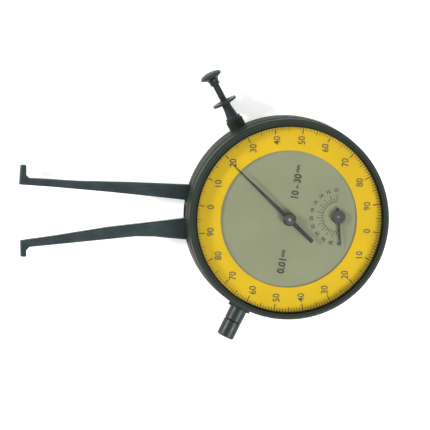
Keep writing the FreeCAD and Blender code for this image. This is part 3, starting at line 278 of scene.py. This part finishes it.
def blacked_arm_steel():
    """Ground steel under black oxide. The eye gets a cold grey-blue sheen, drawn out along the
    arm in fine streaks, wide cloudy patches in the oxide and a thin pale line at each edge."""
    material, tree, place = start_material("blacked_arm_steel")
    grind = patches(tree, place, GRIND_MM, detail=4.0, stretch=GRIND_STRETCH)
    cloud = patches(tree, place, BLACKING_CLOUD_MM)
    gloss = add(tree, "ShaderNodeMapRange",
                {1: NOISE_LOW, 2: NOISE_HIGH, 3: BLACKING_ROUGH[0], 4: BLACKING_ROUGH[1]}, {0: cloud})
    bump = add(tree, "ShaderNodeBump", {"Distance": GRIND_DEPTH_MM * MM}, {"Height": grind})
    streaks = between(tree, grind, GRAIN_SPAN, "293437", "374346")
    oxide = clouded(tree, streaks, cloud, BLACKING_CLOUD_SHADE, BLACKING_CLOUD_AMOUNT)
    worn = rubbed_edges(tree, oxide, "6f7d81", ARM_EDGE_MM, ARM_WEAR)
    steel = add(tree, "ShaderNodeBsdfPrincipled", {"Metallic": 0.75},
                {"Base Color": worn, "Roughness": gloss.outputs[0], "Normal": bump.outputs[0]})
    add(tree, "ShaderNodeOutputMaterial", links={"Surface": steel.outputs[0]})
    return material


arm_black = blacked_arm_steel()
print(arm_black.name)

# %% [markdown]
# Plunger, sleeve, flange and button are turned steel with a black oxide, and the grip is a
# little lighter. On a lathe the marks run round each piece, so here they run round its own axis.

# %% Turned and blacked small parts
TURNED_PITCH_MM = 0.18
TURNED_CLOUD_MM = 3.0
TURNED_DEPTH_MM = 0.006
TURNED_EDGE_MM = 0.22
TURNED_WEAR = 2.0


def turned_black(name, angle, base, light, edge, rough):
    """Steel turned on a lathe and blacked. The eye gets fine bright rings across each piece and
    pale rims. The rings are a noise of the distance along an axis, at an angle in the dial's
    plane, and their pitch is coarser than a real tool's, so that they show."""
    material, tree, place = start_material(name)
    turned = add(tree, "ShaderNodeMapping", {"vector_type": "TEXTURE", "Rotation": (0, 0, angle)},
                 {"Vector": place})
    split = add(tree, "ShaderNodeSeparateXYZ", links={0: turned.outputs[0]})
    marks = add(tree, "ShaderNodeTexNoise",
                {"noise_dimensions": "1D", "Scale": 1 / (TURNED_PITCH_MM * MM), "Detail": 2.0},
                {"W": split.outputs["X"]}).outputs["Fac"]
    cloud = patches(tree, place, TURNED_CLOUD_MM)
    gloss = add(tree, "ShaderNodeMapRange",
                {1: NOISE_LOW, 2: NOISE_HIGH, 3: rough[0], 4: rough[1]}, {0: cloud})
    bump = add(tree, "ShaderNodeBump", {"Distance": TURNED_DEPTH_MM * MM}, {"Height": marks})
    body = between(tree, marks, GRAIN_SPAN, base, light)
    worn = rubbed_edges(tree, body, edge, TURNED_EDGE_MM, TURNED_WEAR)
    steel = add(tree, "ShaderNodeBsdfPrincipled", {"Metallic": 0.7},
                {"Base Color": worn, "Roughness": gloss.outputs[0], "Normal": bump.outputs[0]})
    add(tree, "ShaderNodeOutputMaterial", links={"Surface": steel.outputs[0]})
    return material


# The plunger's parts keep their oil and look darker. The grip is greyer, as a clamp leaves it.
plunger_black = turned_black("blacked_plunger_steel", bearing("thumb_button"),
                             "20262a", "2c3436", "6b7374", (0.32, 0.44))
grip_grey = turned_black("blacked_grip_steel", bearing("grip_stem"),
                         "22282a", "2f3633", "666c64", (0.34, 0.48))
print(plunger_black.name, grip_grey.name)

# %% [markdown]
# Bright parts are stainless or hardened steel, and the movement is rolled brass. Both are true
# metals, so the colour is in the reflection and a fine grain breaks it up.

# %% Bright steel, spring steel, worn arbor steel and brass
METAL_GRAIN_MM = 0.15
METAL_STRETCH = (0.15, 1, 1)
METAL_CLOUD_MM = 4.0
METAL_DEPTH_MM = 0.003


def metal(name, base, light, rough):
    """Rolled or polished metal. The eye gets a mirror that fine streaks along X blur, and a
    colour that drifts between two near tones. The grain is coarser than real, so that it shows."""
    material, tree, place = start_material(name)
    grain = patches(tree, place, METAL_GRAIN_MM, stretch=METAL_STRETCH)
    cloud = patches(tree, place, METAL_CLOUD_MM)
    gloss = add(tree, "ShaderNodeMapRange",
                {1: NOISE_LOW, 2: NOISE_HIGH, 3: rough[0], 4: rough[1]}, {0: grain})
    bump = add(tree, "ShaderNodeBump", {"Distance": METAL_DEPTH_MM * MM}, {"Height": grain})
    shine = add(tree, "ShaderNodeBsdfPrincipled", {"Metallic": 1.0},
                {"Base Color": between(tree, cloud, CLOUD_SPAN, base, light),
                 "Roughness": gloss.outputs[0], "Normal": bump.outputs[0]})
    add(tree, "ShaderNodeOutputMaterial", links={"Surface": shine.outputs[0]})
    return material


# Screws and pinions are polished and nearly white, springs are tempered blue, the arbors' ends
# are dull from handling, and the movement's brass is warm and a little brushed.
bright_steel = metal("bright_screw_steel", "b4b6b6", "cfd1d1", (0.18, 0.34))
spring_steel = metal("blue_spring_steel", "4a5874", "66748c", (0.2, 0.34))
arbor_steel = metal("dull_arbor_steel", "6f7068", "83847b", (0.4, 0.52))
movement_brass = metal("rolled_movement_brass", "c49a4a", "dcb566", (0.22, 0.38))
print(bright_steel.name, spring_steel.name, arbor_steel.name, movement_brass.name)

# %% [markdown]
# The centre of the dial is a plate of aluminium with a matt, sandy grey-green lacquer, and the
# ring round it is the same metal with a thick warm yellow print. Matt print scatters light, so
# both are rough, and both have a grain that only shows close up.

# %% Printed dial colours
DIAL_CLOUD_MM = 14.0
DIAL_CLOUD_SHADE = "dcdcd8"
DIAL_CLOUD_AMOUNT = 0.3


def dial_paint(name, base, light, grain_mm, depth_mm, rough):
    """Matt lacquer or print on a flat dial. The eye gets an even colour with a sandy tooth close
    up and hardly a gleam. The tooth is drawn coarser than the real pigment, so that it shows."""
    material, tree, place = start_material(name)
    grain = patches(tree, place, grain_mm)
    cloud = patches(tree, place, DIAL_CLOUD_MM)
    gloss = add(tree, "ShaderNodeMapRange",
                {1: NOISE_LOW, 2: NOISE_HIGH, 3: rough[0], 4: rough[1]}, {0: grain})
    bump = add(tree, "ShaderNodeBump", {"Distance": depth_mm * MM}, {"Height": grain})
    tooth = between(tree, grain, GRAIN_SPAN, base, light)
    paint = add(tree, "ShaderNodeBsdfPrincipled", {"Specular IOR Level": 0.2},
                {"Base Color": clouded(tree, tooth, cloud, DIAL_CLOUD_SHADE, DIAL_CLOUD_AMOUNT),
                 "Roughness": gloss.outputs[0], "Normal": bump.outputs[0]})
    add(tree, "ShaderNodeOutputMaterial", links={"Surface": paint.outputs[0]})
    return material


# The lacquer is thin and follows the blasted metal, and the yellow lies thicker and smoother.
plate_grey = dial_paint("grey_plate_lacquer", "898a75", "959681", 0.3, 0.004, (0.42, 0.56))
ring_yellow = dial_paint("yellow_ring_print", "dbb009", "e4b910", 0.35, 0.002, (0.5, 0.62))
print(plate_grey.name, ring_yellow.name)

# %% [markdown]
# Printing ink is nearly black and slightly brown, and lies a hair above the plate. The pointers
# are stamped and japanned, glossier than the ink. The seal is black rubber.

# %% Ink, pointer black and rubber
INK_ROUGH = (0.5, 0.65)
INK_GRAIN_MM = 0.2
INK_DEPTH_MM = 0.002


def plain_dark(name, base, light, rough, grain_mm=INK_GRAIN_MM, depth_mm=INK_DEPTH_MM):
    """Printed ink, stoved japan black or moulded rubber. The eye gets one dark tone, and tells
    dry ink, hard lacquer and dull rubber by the gloss. The grain is coarser than a real one."""
    material, tree, place = start_material(name)
    grain = patches(tree, place, grain_mm, detail=2.0)
    gloss = add(tree, "ShaderNodeMapRange",
                {1: NOISE_LOW, 2: NOISE_HIGH, 3: rough[0], 4: rough[1]}, {0: grain})
    bump = add(tree, "ShaderNodeBump", {"Distance": depth_mm * MM}, {"Height": grain})
    coat = add(tree, "ShaderNodeBsdfPrincipled",
               links={"Base Color": between(tree, grain, GRAIN_SPAN, base, light),
                      "Roughness": gloss.outputs[0], "Normal": bump.outputs[0]})
    add(tree, "ShaderNodeOutputMaterial", links={"Surface": coat.outputs[0]})
    return material


# The ring's ink is browner than the plate's, because the yellow shows through it.
ring_ink = plain_dark("dark_brown_ink", "3a2e16", "483a1e", INK_ROUGH)
plate_ink = plain_dark("black_plate_ink", "1c1e18", "292b22", INK_ROUGH)
red_ink = plain_dark("red_zero_ink", "7a1e10", "8a2a18", INK_ROUGH)
# The stamped pointers are glossier than their turned hubs, and the rubber seal hardly shines.
pointer_black = plain_dark("japanned_pointer", "15181a", "20242a", (0.25, 0.36), 0.5)
boss_black = plain_dark("japanned_boss", "1f2122", "2d2f30", (0.3, 0.42), 0.5)
seal_black = plain_dark("seal_rubber_black", "171717", "222222", (0.6, 0.75), 0.3, 0.004)
print(ring_ink.name, pointer_black.name, seal_black.name)

# %% [markdown]
# The watch glass is cast acrylic: almost clear, with a soft polish. Plain acrylic has an IOR of
# 1.49. The real glass hides its reflections so well that the yellow below stays deep, so the IOR
# is lowered until the glass mirrors as little. Lamps have to reach the dial through it, so a
# shadow ray or a scattered ray meets a see-through shader, and only the eye meets the glass.

# %% Watch glass
GLASS_IOR = 1.16
POLISH_MM = 6.0
POLISH_DEPTH_MM = 0.002


def watch_glass():
    """Polished cast acrylic. The eye gets a clear pane with a slow, faint waver in what it
    mirrors. Share of the see-through shader = the greater of shadow ray and scattered ray."""
    material, tree, place = start_material("acrylic_watch_glass")
    polish = patches(tree, place, POLISH_MM, detail=2.0)
    bump = add(tree, "ShaderNodeBump", {"Distance": POLISH_DEPTH_MM * MM}, {"Height": polish})
    pane = add(tree, "ShaderNodeBsdfPrincipled",
               {"Base Color": to_linear("f7faf5"), "Transmission Weight": 1.0,
                "IOR": GLASS_IOR, "Roughness": 0.0}, {"Normal": bump.outputs[0]})
    clear = add(tree, "ShaderNodeBsdfTransparent", {"Color": to_linear("f4f6f2")})
    path = add(tree, "ShaderNodeLightPath")
    through = add(tree, "ShaderNodeMath", {"operation": "MAXIMUM"},
                  {0: path.outputs["Is Shadow Ray"], 1: path.outputs["Is Diffuse Ray"]})
    mix = add(tree, "ShaderNodeMixShader",
              links={0: through.outputs[0], 1: pane.outputs[0], 2: clear.outputs[0]})
    add(tree, "ShaderNodeOutputMaterial", links={"Surface": mix.outputs[0]})
    return material


glass = watch_glass()
print(glass.name, "IOR", GLASS_IOR)

# %% [markdown]
# Each part from the frame gets the material of its real counterpart. The parts of one kind are
# listed together, so that a forgotten part shows at once in the count that the cell prints.

# %% Give every part its finish
FINISHES = [
    (case_enamel, "case back_cover"),
    (bezel_enamel, "bezel"),
    (arm_black, "fixed_arm moving_arm"),
    (plunger_black, "guide_sleeve finger_flange thumb_button plunger_rod"),
    (grip_grey, "grip_stem"),
    (bright_steel, "back_cover_screws base_plate_screws bridge_screws fixed_arm_screws fixed_arm_dowels "
                   "pivot_pin pivot_washers arm_stop_pin spring_anchor spring_hook_pin sector_screws "
                   "hairspring_stud bezel_spring_ring dial_plate_screws first_pinion second_pinion "
                   "centre_pinion idler_arbor counter_arbor plunger_collar"),
    (spring_steel, "main_spring hairspring"),
    (movement_brass, "base_plate bridge_plate bridge_pillars sector_gear first_wheel second_wheel "
                     "idler_wheel idler_transfer_wheel counter_wheel hairspring_collet pivot_bush"),
    (plate_grey, "dial_plate"),
    (ring_yellow, "dial_ring"),
    (pointer_black, "main_pointer counter_pointer"),
    (boss_black, "pointer_boss counter_boss"),
    (glass, "crystal"),
    (seal_black, "crystal_seal"),
]
dressed = set()
for material, names in FINISHES:
    for name in names.split():
        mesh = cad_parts[name].data
        mesh.materials.clear()
        mesh.materials.append(material)
        dressed.add(name)
print("dressed", len(dressed), "of", len(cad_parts), "left", sorted(set(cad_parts) - dressed))

# %% [markdown]
# A printed scale is hundreds of thin bars. Each bar is the same small box, so all of them are
# one array: eight corners for every bar, moved out along its own direction. The ink is a hair
# thick and stands on the ring.

# %% One way into the scene, and bars as one array
INK_MM = 0.03
PRINT_SLOT = "pointer_black"


def mesh_object(name, vertices, faces, material, body, slot):
    """Puts an array of points and a list of faces into a mesh at the origin, riding on a body."""
    mesh = bpy.data.meshes.new(name)
    mesh.from_pydata(vertices.tolist(), [], faces)
    mesh.update()
    mesh.materials.append(material)
    piece = bpy.data.objects.new(name, mesh)
    bpy.context.scene.collection.objects.link(piece)
    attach(piece, body)
    return piece


def bars(centre, angles, inner, outer, width, low):
    """Boxes along rays: corner = centre + r * ray + w * across, with r inner or outer and w plus
    or minus half the width. The sizes are in metres, one for all bars or one for each."""
    angles = np.radians(angles)
    ray = np.stack([np.cos(angles), np.sin(angles)], 1)
    across = np.stack([-np.sin(angles), np.cos(angles)], 1)
    corners = []
    for level in (low, low + INK_MM * MM):
        for r, side in ((inner, -1), (outer, -1), (outer, 1), (inner, 1)):
            flat = np.array(centre) + ray * np.broadcast_to(r, angles.shape)[:, None]
            flat = flat + across * (side * np.broadcast_to(width, angles.shape) / 2)[:, None]
            corners.append(np.column_stack([flat, np.full(len(angles), level)]))
    vertices = np.stack(corners, 1).reshape(-1, 3)
    box = np.array([[3, 2, 1, 0], [4, 5, 6, 7], [0, 1, 5, 4], [1, 2, 6, 5], [2, 3, 7, 6], [3, 0, 4, 7]])
    faces = (box[None] + 8 * np.arange(len(angles))[:, None, None]).reshape(-1, 4)
    return vertices, faces.tolist()


print("ink stands", INK_MM, "mm high")

# %% [markdown]
# The ring has two hundred marks for one turn of the pointer. Every fifth is longer and every
# tenth longest, and a red mark stands over one of them.

# %% Marks of the yellow ring
DIVISIONS = 200
ZERO_ANGLE = 171.0
RED_ANGLE = 9.0
TICK_INSET = 0.35 * MM
TICK_OUTER = ring_reach - TICK_INSET
# Lengths and widths of a tenth mark, a fifth mark and a plain one, in millimetres.
LONG, MEDIUM, SHORT = 2.6, 1.9, 1.35
BROAD, MIDDLE, FINE = 0.34, 0.28, 0.24
RED_WIDTH = 0.45 * MM

division = np.arange(DIVISIONS)
ring_angles = ZERO_ANGLE - division * 360 / DIVISIONS
tenths_and_fifths = [division % 10 == 0, division % 5 == 0]
ring_length = np.select(tenths_and_fifths, [LONG, MEDIUM], SHORT) * MM
ring_width = np.select(tenths_and_fifths, [BROAD, MIDDLE], FINE) * MM
ring_bars = bars((0, 0), ring_angles, TICK_OUTER - ring_length, TICK_OUTER, ring_width, ring_top)
ring_marks = mesh_object("ring_scale_marks", *ring_bars, ring_ink, "bezel", PRINT_SLOT)
red_bar = bars((0, 0), [RED_ANGLE], TICK_OUTER - LONG * MM, TICK_OUTER, RED_WIDTH,
               ring_top + INK_MM * MM)
red_mark = mesh_object("red_ring_mark", *red_bar, red_ink, "bezel", PRINT_SLOT)
print(ring_marks.name, len(ring_bars[1]), "faces,", red_mark.name, "at", RED_ANGLE, "degrees")

# %% [markdown]
# The small scale counts whole millimetres round its own hub, from 10 to 30. Its bars stand
# on a thin circle, as on the real plate.

# %% Counter scale
COUNTER_PLACE = (counter.x, counter.y)
COUNTER_START = 93.0
COUNTER_STEP = 9.0
COUNTER_MARKS = 21
COUNTER_INNER = 5.0 * MM
# Lengths of an even millimetre's bar and of an odd one's, in millimetres.
COUNTER_LONG, COUNTER_SHORT = 2.2, 1.3
COUNTER_LINE = 0.2 * MM
CIRCLE_LINE = 0.16 * MM
CIRCLE_STEPS = 72


def arc_band(centre, radius, width, start, end, low):
    """A thin band along a circle: point = centre + r * (cos a, sin a), with r the radius plus or
    minus half the width and the angle a from start to end, low and one ink's height above."""
    angles = np.radians(np.linspace(start, end, CIRCLE_STEPS))
    ray = np.stack([np.cos(angles), np.sin(angles)], 1)
    rows = []
    for level, r in ((low, radius - width / 2), (low, radius + width / 2),
                     (low + INK_MM * MM, radius + width / 2), (low + INK_MM * MM, radius - width / 2)):
        rows.append(np.column_stack([np.array(centre) + ray * r, np.full(CIRCLE_STEPS, level)]))
    vertices = np.stack(rows, 1).reshape(-1, 3)
    first = 4 * np.arange(CIRCLE_STEPS - 1)[:, None]
    sides = [first + np.array([[a, a + 4, (a + 1) % 4 + 4, (a + 1) % 4]]) for a in range(4)]
    ends = np.array([[0, 1, 2, 3], 4 * (CIRCLE_STEPS - 1) + np.array([3, 2, 1, 0])])
    return vertices, np.concatenate([*sides, ends]).tolist()


counter_index = np.arange(COUNTER_MARKS)
counter_angles = COUNTER_START + COUNTER_STEP * counter_index
counter_length = np.where(counter_index % 2 == 0, COUNTER_LONG, COUNTER_SHORT) * MM
counter_bars = bars(COUNTER_PLACE, counter_angles, COUNTER_INNER, COUNTER_INNER + counter_length,
                    COUNTER_LINE, plate_top)
counter_marks = mesh_object("counter_scale_marks", *counter_bars, plate_ink, "body", PRINT_SLOT)
counter_band = arc_band(COUNTER_PLACE, COUNTER_INNER, CIRCLE_LINE, counter_angles[0],
                        counter_angles[-1], plate_top)
counter_circle = mesh_object("counter_scale_circle", *counter_band, plate_ink, "body", PRINT_SLOT)
print(counter_marks.name, COUNTER_MARKS, "bars,", counter_circle.name, len(counter_band[1]), "faces")

# %% [markdown]
# Figures are written with Blender's own plain font, turned to a mesh, and only then moved to
# their places, so that each object stays at the origin. All the figures of one scale are one
# mesh, because the real print is one pass of the stamp.

# %% Figures as meshes
# The font's size is 1.4 times the height of its capitals.
FONT_OVER_CAPITAL = 1.4
FONT_CURVE_STEPS = 3


def figure_mesh(text, height, weight):
    """Points and faces of a text, centred on its own middle. The height is a capital's, in
    metres, and the weight is what each side of a stroke gains, as a share of the height."""
    curve = bpy.data.curves.new("figure", "FONT")
    curve.body = text
    curve.size = height * FONT_OVER_CAPITAL
    curve.align_x = "CENTER"
    curve.extrude = INK_MM * MM / 2
    curve.resolution_u = FONT_CURVE_STEPS
    curve.offset = height * weight
    holder = bpy.data.objects.new("figure", curve)
    mesh = bpy.data.meshes.new_from_object(holder)
    points = np.empty(len(mesh.vertices) * 3)
    mesh.vertices.foreach_get("co", points)
    points = points.reshape(-1, 3)
    points[:, :2] -= (points[:, :2].max(0) + points[:, :2].min(0)) / 2
    faces = [np.array(face.vertices) for face in mesh.polygons]
    bpy.data.objects.remove(holder)
    bpy.data.meshes.remove(mesh)
    return points, faces


def print_figures(name, entries, weight, low, material, body):
    """Joins many figures. Each entry is (text, capital height, x, y, direction of its baseline in
    degrees, share of its width). A point is the figure's own, narrowed by the share, turned by
    the direction and moved to x, y."""
    all_points, all_faces, count = [], [], 0
    for text, height, x, y, turn, share in entries:
        points, faces = figure_mesh(text, height, weight)
        way = math.radians(turn)
        spin = np.array([[math.cos(way), math.sin(way)], [-math.sin(way), math.cos(way)]])
        flat = points[:, :2] * np.array([share, 1.0]) @ spin + (x, y)
        level = points[:, 2] + low + INK_MM * MM / 2
        all_points.append(np.column_stack([flat, level]))
        all_faces += [(face + count).tolist() for face in faces]
        count += len(points)
    mesh_object(name, np.concatenate(all_points), all_faces, material, body, PRINT_SLOT)
    print(name, len(entries), "texts,", len(all_faces), "faces")


print("a capital 1 mm high is drawn at size", FONT_OVER_CAPITAL, "mm")

# %% [markdown]
# One turn of the pointer is two millimetres, so the ring's figures count 0 to 90 twice, in
# hundredths. They all share one baseline direction, while the counter's turn with their scale.

# %% Figures of the ring, the counter and the plate
RING_LABELS = DIVISIONS // 10
RING_LABEL_INSET = 5.0 * MM
RING_LABEL_REACH = ring_reach - RING_LABEL_INSET
RING_LABEL_HEIGHT = 2.25 * MM
RING_LABEL_SHARE = 0.92
RING_LABEL_WEIGHT = 0.018
RING_BASELINE = 90.0
ring_entries = []
for label in range(RING_LABELS):
    angle = math.radians(ZERO_ANGLE - 360 / RING_LABELS * label)
    ring_entries.append((str(label % 10 * 10), RING_LABEL_HEIGHT, RING_LABEL_REACH * math.cos(angle),
                         RING_LABEL_REACH * math.sin(angle), RING_BASELINE, RING_LABEL_SHARE))
print_figures("ring_scale_figures", ring_entries, RING_LABEL_WEIGHT, ring_top, ring_ink, "bezel")

COUNTER_LABEL_REACH = 8.9 * MM
COUNTER_LABEL_HEIGHT = 1.15 * MM
COUNTER_LABEL_SHARE = 0.95
COUNTER_LABEL_WEIGHT = 0.045
FIRST_COUNT = 10
counter_entries = []
for mark in range(0, COUNTER_MARKS, 2):
    turn = COUNTER_START + COUNTER_STEP * mark
    angle = math.radians(turn)
    counter_entries.append((str(FIRST_COUNT + mark), COUNTER_LABEL_HEIGHT,
                            counter.x + COUNTER_LABEL_REACH * math.cos(angle),
                            counter.y + COUNTER_LABEL_REACH * math.sin(angle),
                            turn - 90, COUNTER_LABEL_SHARE))
print_figures("counter_scale_figures", counter_entries, COUNTER_LABEL_WEIGHT, plate_top, plate_ink,
              "body")

RANGE_HEIGHT = 2.3 * MM
UNIT_HEIGHT = 1.35 * MM
PLATE_BASELINE = 80.0
PLATE_WEIGHT = 0.06
plate_entries = [
    ("10 - 30", RANGE_HEIGHT, 2.5 * MM, 10.9 * MM, PLATE_BASELINE, 0.92),
    ("mm", UNIT_HEIGHT, 3.1 * MM, 16.6 * MM, PLATE_BASELINE, 0.9),
    ("0.01", RANGE_HEIGHT, -2.3 * MM, -15.6 * MM, PLATE_BASELINE, 0.98),
    ("mm", UNIT_HEIGHT, -1.7 * MM, -11.4 * MM, PLATE_BASELINE, 0.85),
]
print_figures("plate_range_figures", plate_entries, PLATE_WEIGHT, plate_top, plate_ink, "body")

# %% [markdown]
# Each hub is pressed on its arbor, and the arbor's end shows as a small pale dome in the middle
# of the black hub. Handling has dulled it, so it is greyer than the screws. The dome is a surface
# of two parameters, a round cap of low height, closed below.

# %% Ends of the arbors in the hubs
DOME_RISE = 0.12 * MM
DOME_RINGS = 8
DOME_SIDES = 36
# The piece, the hub it shows in, the body it turns with, and its radius.
ARBOR_ENDS = [
    ("main_hub_end", "pointer_boss", "pointer", 0.55 * MM),
    ("counter_hub_end", "counter_boss", "counter", 0.42 * MM),
]


def dome(centre, radius, low):
    """A cap: x, y = centre + radius * sin(a) * (cos b, sin b), z = low + rise * cos(a), with a
    from nought to a right angle and b once round. Faces at the tip, the rings and the base."""
    a = np.linspace(0, math.pi / 2, DOME_RINGS)[1:, None]
    b = np.linspace(0, 2 * math.pi, DOME_SIDES, endpoint=False)[None]
    x = centre.x + radius * np.sin(a) * np.cos(b)
    y = centre.y + radius * np.sin(a) * np.sin(b)
    z = low + DOME_RISE * np.cos(a) * np.ones_like(b)
    shell = np.stack([x, y, z], 2).reshape(-1, 3)
    tip = (centre.x, centre.y, low + DOME_RISE)
    foot = (centre.x, centre.y, low)
    vertices = np.vstack([tip, shell, foot])
    here = 1 + np.arange(DOME_SIDES)
    after = np.roll(here, -1)
    crown = np.column_stack([np.zeros_like(here), here, after])
    row = DOME_SIDES * np.arange(DOME_RINGS - 2)[:, None]
    skin = np.stack([row + here, row + DOME_SIDES + here, row + DOME_SIDES + after, row + after], 2)
    rim = DOME_SIDES * (DOME_RINGS - 2)
    base = np.column_stack([rim + after, rim + here, np.full_like(here, len(vertices) - 1)])
    return vertices, crown.tolist() + skin.reshape(-1, 4).tolist() + base.tolist()


for name, hub, body, radius in ARBOR_ENDS:
    vertices, faces = dome(middle(hub), radius, high(hub))
    piece = mesh_object(name, vertices, faces, arbor_steel, body, "bright_steel")
    smooth = np.arange(len(faces)) < len(faces) - DOME_SIDES
    piece.data.polygons.foreach_set("use_smooth", smooth)
    print(name, len(faces), "faces")

# %% [markdown]
# The floor is a plain pale sheet. What the eye sees of it is white, but its shadows stay,
# because only part of its brightness comes from the light path switch.

# %% Floor and backdrop
FLOOR_GLOW = 0.56
FLOOR_GRAIN_MM = 0.6
FLOOR_HALF = 1500 * MM
FLOOR_DROP = 0.05 * MM


def seen_rays(tree):
    """One for a ray that the eye follows, straight or by way of metal or glass, and nought for a
    ray that lights: the greatest of camera ray, glossy ray and transmission ray."""
    path = add(tree, "ShaderNodeLightPath")
    first = add(tree, "ShaderNodeMath", {"operation": "MAXIMUM"},
                {0: path.outputs["Is Camera Ray"], 1: path.outputs["Is Glossy Ray"]})
    both = add(tree, "ShaderNodeMath", {"operation": "MAXIMUM"},
               {0: first.outputs[0], 1: path.outputs["Is Transmission Ray"]})
    return both.outputs[0]


def paper_floor():
    """Matt white paper. The eye gets a sheet without gleam. Its grain is coarser than a real
    paper's, so that it is just felt."""
    material, tree, place = start_material("pale_paper_floor")
    grain = patches(tree, place, FLOOR_GRAIN_MM, detail=2.0)
    glow = add(tree, "ShaderNodeMath", {"operation": "MULTIPLY", 1: FLOOR_GLOW}, {0: seen_rays(tree)})
    paper = add(tree, "ShaderNodeBsdfPrincipled", {"Roughness": 0.9, "Emission Color": to_linear(WHITE)},
                {"Base Color": between(tree, grain, GRAIN_SPAN, "f4f4f4", "fafafa"),
                 "Emission Strength": glow.outputs[0]})
    add(tree, "ShaderNodeOutputMaterial", links={"Surface": paper.outputs[0]})
    return material


def make_floor():
    """A square of one face under the object, a hair below it."""
    half = FLOOR_HALF
    corners = [(-half, -half, 0), (half, -half, 0), (half, half, 0), (-half, half, 0)]
    mesh = bpy.data.meshes.new("floor")
    mesh.from_pydata(corners, [], [(0, 1, 2, 3)])
    mesh.materials.append(paper_floor())
    sheet = bpy.data.objects.new("floor", mesh)
    bpy.context.scene.collection.objects.link(sheet)
    sheet.location.z = -FLOOR_DROP
    return sheet


floor = make_floor()
print("floor at", round(floor.location.z / MM, 3), "mm")

# %% [markdown]
# The main light comes from the left and a little from above in the picture, low enough that the
# pointer's hub throws a shadow twice as long as it stands high. A lamp as wide as a hand makes
# that shadow soft, a broad lamp from the other side lifts it, and the pale world fills the rest.

# %% Light
# A studio is measured in metres, and so are the places and widths of its lamps.
LIT_POINT = Vector((0, 0, 0.01))
KEY_PLACE = Vector((-0.75, 0.20, 0.39))
FILL_PLACE = Vector((0.65, -0.55, 0.95))
SKY_LIGHT = 0.56
BACKDROP_LIGHT = 1.0


def area_lamp(name, place, width, energy, colour):
    """A round lamp of a width in metres and an energy in watts, turned to face the dial."""
    data = bpy.data.lights.new(name, "AREA")
    data.shape = "DISK"
    data.size = width
    data.energy = energy
    data.color = to_linear(colour)[:3]
    lamp = bpy.data.objects.new(name, data)
    bpy.context.scene.collection.objects.link(lamp)
    lamp.location = place
    lamp.rotation_mode = "QUATERNION"
    lamp.rotation_quaternion = (LIT_POINT - place).to_track_quat("-Z", "Y")
    return lamp


def studio_world():
    """A white world to the eye, and a dimmer one to what it lights."""
    world = bpy.data.worlds.new("studio")
    world.use_nodes = True
    tree = world.node_tree
    tree.nodes.clear()
    sky = add(tree, "ShaderNodeBackground", {"Color": to_linear(WHITE), "Strength": SKY_LIGHT})
    white = add(tree, "ShaderNodeBackground", {"Color": to_linear(WHITE), "Strength": BACKDROP_LIGHT})
    seen = add(tree, "ShaderNodeMixShader",
               links={0: seen_rays(tree), 1: sky.outputs[0], 2: white.outputs[0]})
    add(tree, "ShaderNodeOutputWorld", links={"Surface": seen.outputs[0]})
    return world


key = area_lamp("key_lamp", KEY_PLACE, width=0.13, energy=5.6, colour="fffaf0")
fill = area_lamp("fill_lamp", FILL_PLACE, width=0.5, energy=12.0, colour=WHITE)
bpy.context.scene.world = studio_world()
bpy.context.scene.view_settings.view_transform = "Standard"
print("lamps", key.name, key.data.energy, "W,", fill.name, fill.data.energy, "W")
